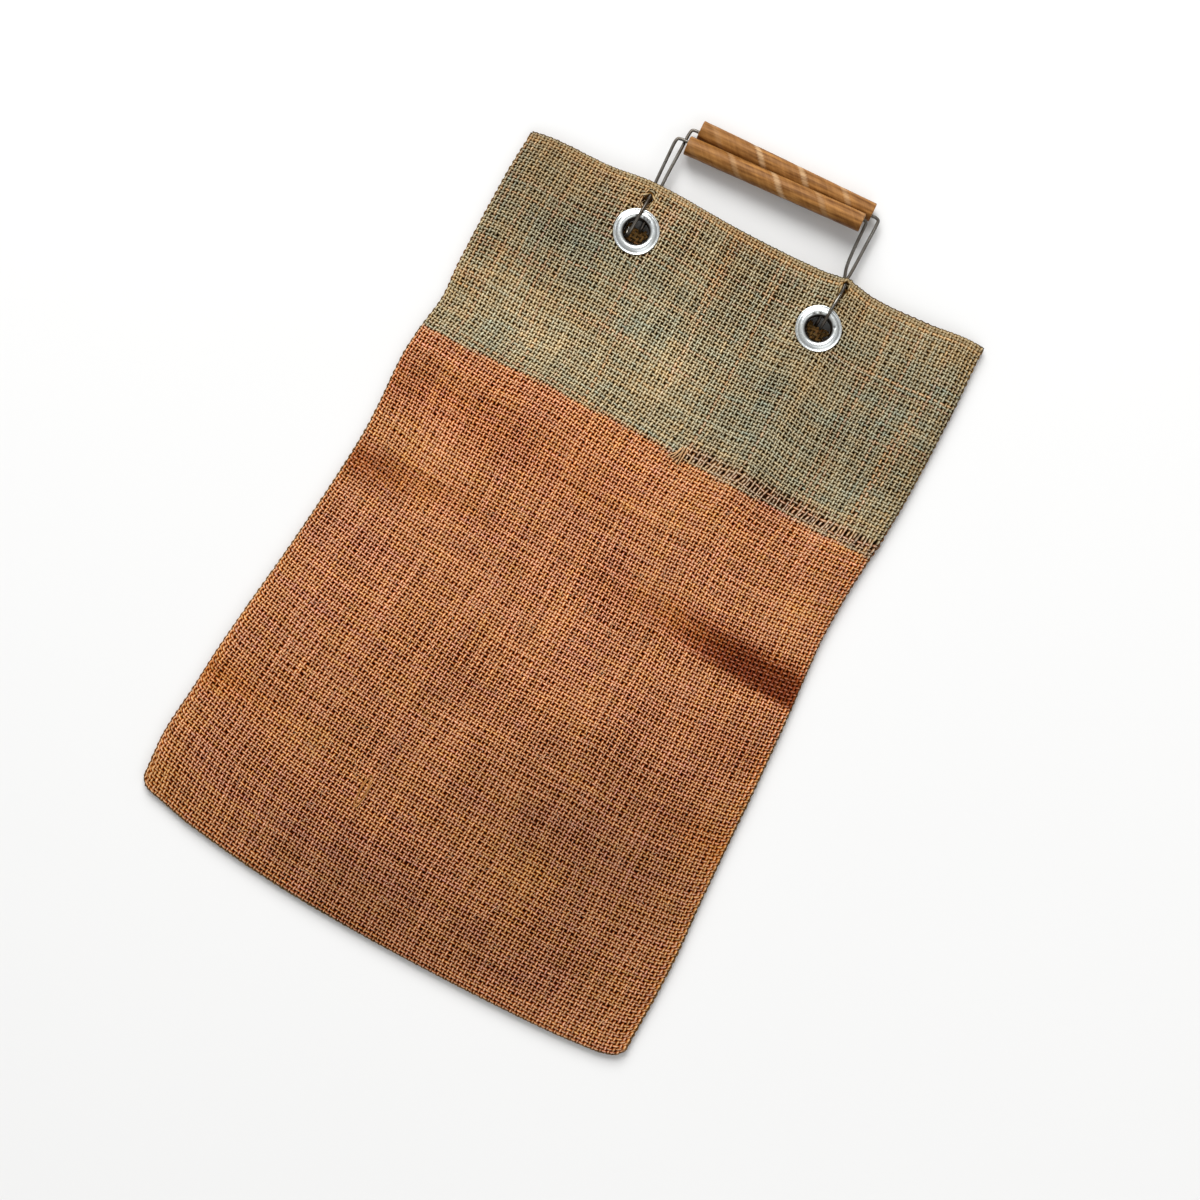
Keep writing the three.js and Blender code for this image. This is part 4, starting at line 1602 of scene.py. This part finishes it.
@dataclass
class Eyelet:
    """A nickel eyelet: a domed flange with a rolled lip, a barrel and a clinched washer."""

    side: str
    face: Face
    middle: float
    dents: tuple[float, ...] = ()
    dent_radius: float = 8.2
    dent_width: float = 0.7
    dent_reach: float = 0.075
    dent_depth: float = 0.5
    flange_from: float = 9.0
    dark_bore_radii: tuple[float, float] = (7.1, 8.3)
    around: int = 84

    def profile(self) -> np.ndarray:
        """The section's points, as radius and height out of the bag, on a smooth closed line.

        Between each two corners is one point more, on the curve through the four nearest.

        Returns:
            The points.
        """
        corners = np.array(
            [
                (7.0, 0.8), (7.0, -0.9), (7.15, -1.6), (7.7, -2.0), (8.7, -2.05), (10.4, -1.8),
                (11.4, -1.6), (11.5, -1.3), (11.3, -1.08), (9.6, -1.06), (7.9, -1.05),
                (7.8, -0.6), (7.8, 0.6), (7.9, 1.05), (10.0, 1.06), (12.0, 1.06), (12.38, 1.14),
                (12.5, 1.36), (12.36, 1.64), (12.0, 1.74), (11.6, 1.5), (11.1, 1.6),
                (10.3, 2.1), (9.5, 2.36), (8.7, 2.38), (7.95, 2.1), (7.35, 1.6),
            ]
        )
        behind, ahead, beyond = (np.roll(corners, k, 0) for k in (1, -1, -2))
        middle = 0.5 * (corners + ahead) + 0.0625 * (corners + ahead - behind - beyond)
        return np.stack([corners, middle], axis=1).reshape(-1, 2)

    def worn(self, angle: np.ndarray) -> tuple[np.ndarray, np.ndarray, np.ndarray]:
        """Turns the section round, a little out of true and with its lip dented.

        Args:
            angle: where the sections stand, in radians.

        Returns:
            Each point's radius, height and darkening, by angle and along the section: painted
            shade and tarnishing inside the hole, painted dark reflection and scarred plating at
            the dents.
        """
        sections = np.repeat(self.profile()[None], len(angle), 0)
        radius, height = sections[..., 0], sections[..., 1]
        wobble = 0.05 * np.sin(3 * angle + EYELETS[self.side][0]) + 0.04 * np.sin(5 * angle)
        radius += wobble[:, None] * (radius > self.flange_from)
        # Inside the hole the barrel is darkened: painted shade, and tarnishing.
        tarnish_and_shade = 1 - smoothstep(radius, *self.dark_bore_radii)
        for at in self.dents:
            near = np.exp(-(((angle - math.radians(at)) / self.dent_reach) ** 2))[:, None]
            off = (radius - self.dent_radius) / self.dent_width
            dent = near * np.exp(-(off**2)) * (height > 0.8)
            height -= self.dent_depth * dent
            radius += self.dent_depth / 2 * dent
            # The dents are darkened too: painted dark reflection, and scarred plating.
            tarnish_and_shade = np.maximum(tarnish_and_shade, dent)
        return radius, height, tarnish_and_shade

    def build(self) -> bpy.types.Object:
        """Makes the eyelet.

        Returns:
            The object.
        """
        angle = 2 * math.pi * np.arange(self.around) / self.around
        radius, height, tarnish_and_shade = self.worn(angle)
        x, y = EYELETS[self.side]
        points = np.stack(
            [
                x + radius * np.cos(angle)[:, None],
                y + radius * np.sin(angle)[:, None],
                self.middle + self.face.value * height,
            ],
            axis=2,
        )
        outward = (1, 2, 3, 0) if self.face is Face.FRONT else (0, 3, 2, 1)
        number = wrapped(np.arange(radius.size).reshape(radius.shape))
        quads = cells(number).reshape(-1, 4)[:, outward]
        name = f"{self.face.name.lower()}_eyelet_{self.side}"
        values = {"tarnish_and_shade": tarnish_and_shade}
        piece = mesh_piece(f"{name}_nickel", points.reshape(-1, 3), quads, values=values)
        piece.data.materials.append(NickelFinish().material())
        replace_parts(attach(piece, "bag"), name)
        report(piece)
        return piece


@dataclass(frozen=True)
class HandlePath:
    """Where a handle's grip and wire run."""

    left: Point
    right: Point
    off: Point
    left_bends: tuple[Point, ...]
    right_bends: tuple[Point, ...]

    def points(self) -> np.ndarray:
        """Strings the wire's bends together, from one hook's tip to the other's.

        Returns:
            The points.
        """
        left, right, off = (np.array(p) for p in (self.left, self.right, self.off))
        shares = np.array([0, 0.05, 0.35, 0.65, 0.95, 1])[:, None]
        run = left + off + shares * (right - left)
        return np.concatenate([self.left_bends, run, self.right_bends[::-1]])


FRONT_HANDLE = HandlePath(
    left=(-49.5, 216.5, 8.3),
    right=(52.7, 223.1, 12.7),
    off=(0, 1.7, -0.5),
    left_bends=(
        (-56.0, 163.8, 7.95), (-55.9, 161.2, 7.95), (-55.4, 159.2, 8.7), (-54.9, 158.5, 10.4),
        (-54.5, 160.0, 12.7), (-54.2, 164.0, 14.4), (-54.0, 169.0, 14.9), (-53.8, 174.5, 14.8),
        (-53.7, 178.0, 13.2), (-53.7, 181.2, 11.1), (-53.9, 184.8, 9.3), (-54.5, 189.0, 8.6),
        (-54.9, 194.0, 8.5), (-55.6, 209.0, 8.0), (-55.8, 215.0, 7.85), (-55.2, 217.3, 7.8),
        (-53.6, 217.95, 7.8),
    ),
    right_bends=(
        (59.6, 171.0, 7.95), (59.4, 167.0, 7.95), (59.2, 164.2, 8.8), (59.1, 163.2, 10.6),
        (59.1, 164.2, 12.8), (59.2, 167.4, 14.5), (59.4, 172.0, 14.9), (59.7, 179.0, 14.8),
        (60.0, 183.2, 13.3), (60.1, 186.6, 11.1), (59.6, 190.0, 9.2), (57.8, 194.0, 8.7),
        (56.2, 199.0, 9.2), (54.9, 212.0, 11.2), (54.55, 221.5, 12.0), (54.3, 223.9, 12.2),
        (53.2, 224.75, 12.2),
    ),
)
BACK_HANDLE = HandlePath(
    left=(-47.0, 227.5, 5.6),
    right=(55.1, 231.5, 5.6),
    off=(0, -1.6, -0.8),
    left_bends=(
        (-50.0, 172.4, 7.88), (-50.0, 168.6, 7.88), (-50.0, 165.6, 6.9), (-50.0, 164.4, 4.7),
        (-50.0, 165.6, 2.2), (-50.0, 169.5, 1.15), (-50.1, 175.5, 1.1), (-50.3, 179.4, 2.3),
        (-50.4, 182.4, 4.6), (-50.7, 185.4, 6.6), (-51.0, 190.5, 7.0), (-51.2, 197.0, 6.8),
        (-51.2, 214.0, 5.5), (-51.2, 223.0, 4.9), (-50.7, 225.1, 4.8), (-49.2, 225.8, 4.8),
    ),
    right_bends=(
        (56.4, 172.4, 7.88), (56.4, 168.6, 7.88), (56.4, 165.6, 6.9), (56.4, 164.4, 4.7),
        (56.4, 165.6, 2.2), (56.5, 169.5, 1.15), (56.7, 175.5, 1.1), (57.0, 179.4, 2.3),
        (57.4, 182.4, 4.6), (58.2, 185.4, 6.3), (59.3, 190.5, 6.6), (59.8, 197.0, 6.4),
        (59.9, 214.0, 5.4), (59.9, 226.8, 4.9), (59.5, 229.3, 4.8), (57.9, 230.0, 4.8),
    ),
)


@dataclass
class Handle:
    """A wire bail with its spiral-wound grip."""

    face: Face
    path: HandlePath
    joint_at: float
    joints_show: tuple[float, ...]
    wire: float = 1.8
    wire_sides: int = 10
    wire_end: float = 0.75
    steps_per_bend: int = 6
    grip: float = 10.5
    grip_bore: float = 6.2
    grip_length: float = 102.0
    grip_sides: int = 48
    grip_steps: int = 110
    winding: float = 25.5
    joint_width: float = 3.7
    joint_sunk: float = 0.06
    joint_groove: float = 0.08
    groove_reach: float = 0.35

    def build(self) -> None:
        """Makes the wire and the grip."""
        side = self.face.name.lower()
        wire = self.wire_piece(f"{side}_wire")
        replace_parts(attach(wire, "bag"), f"{side}_bail")
        report(wire)
        tube = self.grip_piece(f"{side}_grip_tube")
        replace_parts(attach(tube, f"{side}_grip"), f"{side}_grip")
        report(tube)

    def centre_line(self) -> np.ndarray:
        """The wire's line, smooth through its bends.

        Returns:
            Its points.
        """
        bends = self.path.points()
        first, last = 2 * bends[:1] - bends[1:2], 2 * bends[-1:] - bends[-2:-1]
        p = np.concatenate([first, bends, last])
        gap = np.sqrt(np.linalg.norm(np.diff(p, axis=0), axis=1))[:, None]
        p0, p1, p2, p3 = p[:-3], p[1:-2], p[2:-1], p[3:]
        d0, d1, d2 = gap[:-2], gap[1:-1], gap[2:]
        leave = ((p1 - p0) / d0 - (p2 - p0) / (d0 + d1) + (p2 - p1) / d1) * d1
        reach = ((p2 - p1) / d1 - (p3 - p1) / (d1 + d2) + (p3 - p2) / d2) * d1
        t = (np.arange(self.steps_per_bend) / self.steps_per_bend)[:, None, None]
        line = (
            (2 * t**3 - 3 * t**2 + 1) * p1
            + (t**3 - 2 * t**2 + t) * leave
            + (3 * t**2 - 2 * t**3) * p2
            + (t**3 - t**2) * reach
        )
        return np.concatenate([line.swapaxes(0, 1).reshape(-1, 3), bends[-1:]])

    def wire_piece(self, name: str) -> bpy.types.Object:
        """Makes the wire, with its cut ends slightly rounded.

        Args:
            name: the piece's name.

        Returns:
            The object.
        """
        line = self.centre_line()[None]
        ends = np.minimum(np.arange(line.shape[1]), np.arange(line.shape[1])[::-1])
        radius = self.wire / 2 * np.where(ends == 0, self.wire_end, 1.0)[None]
        rings = round_rings(line, radius, self.wire_sides)
        piece = lattice_tubes(name, rings, np.ones(line.shape[:2], bool), {})
        length = float(np.linalg.norm(np.diff(line[0], axis=0), axis=1).sum())
        piece.data.materials.append(WireFinish(name=f"{name} steel").material(length))
        return piece

    def grip_section(self) -> tuple[np.ndarray, np.ndarray]:
        """The grip's section: out of the bore, along the outside and back into the bore.

        Returns:
            How far along each ring stands and its radius, the first ring again at the end.
        """
        half, outer, bore = self.grip_length / 2, self.grip / 2, self.grip_bore / 2
        rim = [(half, bore + 0.15), (half, outer - 0.45), (half - 0.12, outer - 0.13)]
        end = np.array([(half - 2.0, bore), (half - 0.1, bore), *rim])
        skin = np.full((self.grip_steps, 2), outer)
        skin[:, 0] = np.linspace(0.5 - half, half - 0.5, self.grip_steps)
        start = end * (-1, 1)
        section = np.concatenate([start, skin, end[::-1], start[:1]])
        return section[:, 0], section[:, 1]

    def joint(self, phase: np.ndarray) -> tuple[np.ndarray, np.ndarray]:
        """The joint of the winding.

        Args:
            phase: how many turns of the winding each place lies on.

        Returns:
            Where the joint lies, from 0 to 1, and how deep the surface is sunk there.
        """
        half = self.joint_width / 2
        off = np.abs(phase - np.round(phase)) * self.winding
        lies = 1 - smoothstep(off, half - 0.5, half + 0.2)
        groove = np.exp(-(((off - half) / self.groove_reach) ** 2))
        return lies, self.joint_sunk * lies + self.joint_groove * groove

    def grip_piece(self, name: str) -> bpy.types.Object:
        """Makes the grip, with the joint of its winding worked into the surface.

        Args:
            name: the piece's name.

        Returns:
            The object.
        """
        left, right = np.array(self.path.left), np.array(self.path.right)
        axis = unit(right - left)
        side = unit(np.array([0.0, 1.0, 0.0]) - axis[1] * axis)
        up = np.cross(axis, side)
        station, size = self.grip_section()
        angle = 2 * math.pi * np.arange(self.grip_sides + 1) / self.grip_sides
        place = (station[:, None] + (left + right)[0] / 2 - self.joint_at) / self.winding
        phase = place - (angle[None, :] - math.pi / 2) / (2 * math.pi)
        joint, sunk = self.joint(phase)
        turn = np.clip(np.round(phase).astype(int) + 2, 0, len(self.joints_show) - 1)
        skin = (size > self.grip / 2 - 0.05)[:, None]
        cut_end = (size < self.grip / 2 - 0.3)[:, None]
        radius = size[:, None] - skin * sunk
        spoke = side * np.cos(angle)[:, None] + up * np.sin(angle)[:, None]
        points = (left + right) / 2 + station[:, None, None] * axis + radius[..., None] * spoke
        values = {
            "joint": joint * np.array(self.joints_show)[turn] * skin,
            "winding": phase,
            "cut_end": np.broadcast_to(cut_end, phase.shape),
        }
        rows, wide = len(station) - 1, self.grip_sides
        v, u = np.meshgrid(np.linspace(0, 1, rows + 1), np.arange(wide + 1) / wide, indexing="ij")
        piece = mesh_piece(
            name,
            points[:-1, :-1].reshape(-1, 3),
            cells(wrapped(np.arange(rows * wide).reshape(rows, wide))).reshape(-1, 4)[:, ::-1],
            corner_uv=cells(np.stack([u, v], axis=2))[:, :, ::-1].reshape(-1, 2),
            values={key: numbers[:-1, :-1] for key, numbers in values.items()},
        )
        piece.data.materials.append(PaperTubeFinish(f"{name} paper").material())
        return piece


@dataclass
class Studio:
    """The table, the lights and the camera."""

    aim: Point = (0.0235, -0.0192, 0.010)
    turn: float = 28.0
    frame_width: float = 0.6384
    distance: float = 1.6
    sensor: float = 36.0
    table_reach: float = 3000.0
    table_drop: float = 0.3
    backdrop: float = 0.9

    def build(self) -> None:
        """Sets everything up."""
        self.table()
        self.camera()
        self.lights()
        bpy.context.scene.view_settings.view_transform = "Standard"
        bpy.context.scene.view_settings.look = "None"

    def table(self) -> None:
        """Makes the table top."""
        corners = np.array([(-1, -1, 0), (1, -1, 0), (1, 1, 0), (-1, 1, 0)]) * self.table_reach
        corners[:, 2] = -self.table_drop
        top = mesh_piece("table_top", corners, np.array([[0, 1, 2, 3]]))
        top.data.materials.append(TableFinish().material())

    def camera(self) -> None:
        """Looks straight down, turned as the bag lies in the picture."""
        data = bpy.data.cameras.new("camera")
        data.sensor_width = self.sensor
        data.lens = self.sensor * self.distance / self.frame_width
        data.clip_end = 20.0
        camera = bpy.data.objects.new("camera", data)
        camera.location = Vector(self.aim) + Vector((0, 0, self.distance))
        camera.rotation_euler = (0, 0, math.radians(self.turn))
        bpy.context.scene.collection.objects.link(camera)
        bpy.context.scene.camera = camera

    def lights(self) -> None:
        """A key light from the upper left, a fill, and a surround that lights from overhead."""
        self.light("key", (-1.7, 2.8, 3.05), size=3.2, power=250.0)
        self.light("fill", (1.1, -0.6, 1.5), size=1.4, power=6.0)
        kit = NodeKit(bpy.data.worlds.new("surround"), "Background")
        height = kit.node("SeparateXYZ", "Z", {"Vector": kit.node("TexCoord", "Generated", {})})
        overhead = kit.ramp(height, 0.1, 0.75, 0.10, 0.46)
        seen = kit.node("LightPath", "Is Camera Ray", {})
        strength = kit.node("Mix", "Result", {"Factor": seen, "A": overhead, "B": self.backdrop})
        bpy.context.scene.world = kit.finish({"Strength": strength, "Color": (1.0, 1.0, 1.0)})

    def light(self, name: str, place: Point, size: float, power: float) -> None:
        """Adds a square light that looks at the bag.

        Args:
            name: its name.
            place: where it stands, in metres.
            size: its side, in metres.
            power: its power in watts.
        """
        data = bpy.data.lights.new(name, "AREA")
        data.size = size
        data.energy = power
        lamp = bpy.data.objects.new(name, data)
        lamp.location = place
        gaze = Vector(self.aim) - Vector(place)
        lamp.rotation_euler = gaze.to_track_quat("-Z", "Y").to_euler()
        bpy.context.scene.collection.objects.link(lamp)


def report(piece: bpy.types.Object) -> None:
    """Logs a piece and how fine it is."""
    triangles = sum(len(face.vertices) - 2 for face in piece.data.polygons)
    LOG.info("%s: %d triangles", piece.name, triangles)


def main() -> None:
    """Builds the bag and the studio."""
    logging.basicConfig(level=logging.INFO, format="%(message)s")
    lie = BagLie()
    Cloth(lie).build()
    for side, dents in (("left", (62.0, 74.0, 88.0, 112.0)), ("right", (32.0, 112.0, 134.0))):
        Eyelet(side, Face.FRONT, lie.front_seat + lie.cloth / 2, dents).build()
        Eyelet(side, Face.BACK, lie.back_seat + lie.cloth / 2).build()
    front_joints, back_joints = (0.1, 0.3, 0.65, 0.25, 0.2), (0.15, 0.7, 0.7, 0.4, 0.2)
    Handle(Face.FRONT, FRONT_HANDLE, joint_at=3.2, joints_show=front_joints).build()
    Handle(Face.BACK, BACK_HANDLE, joint_at=13.8, joints_show=back_joints).build()
    Studio().build()


if __name__ == "__main__":
    main()
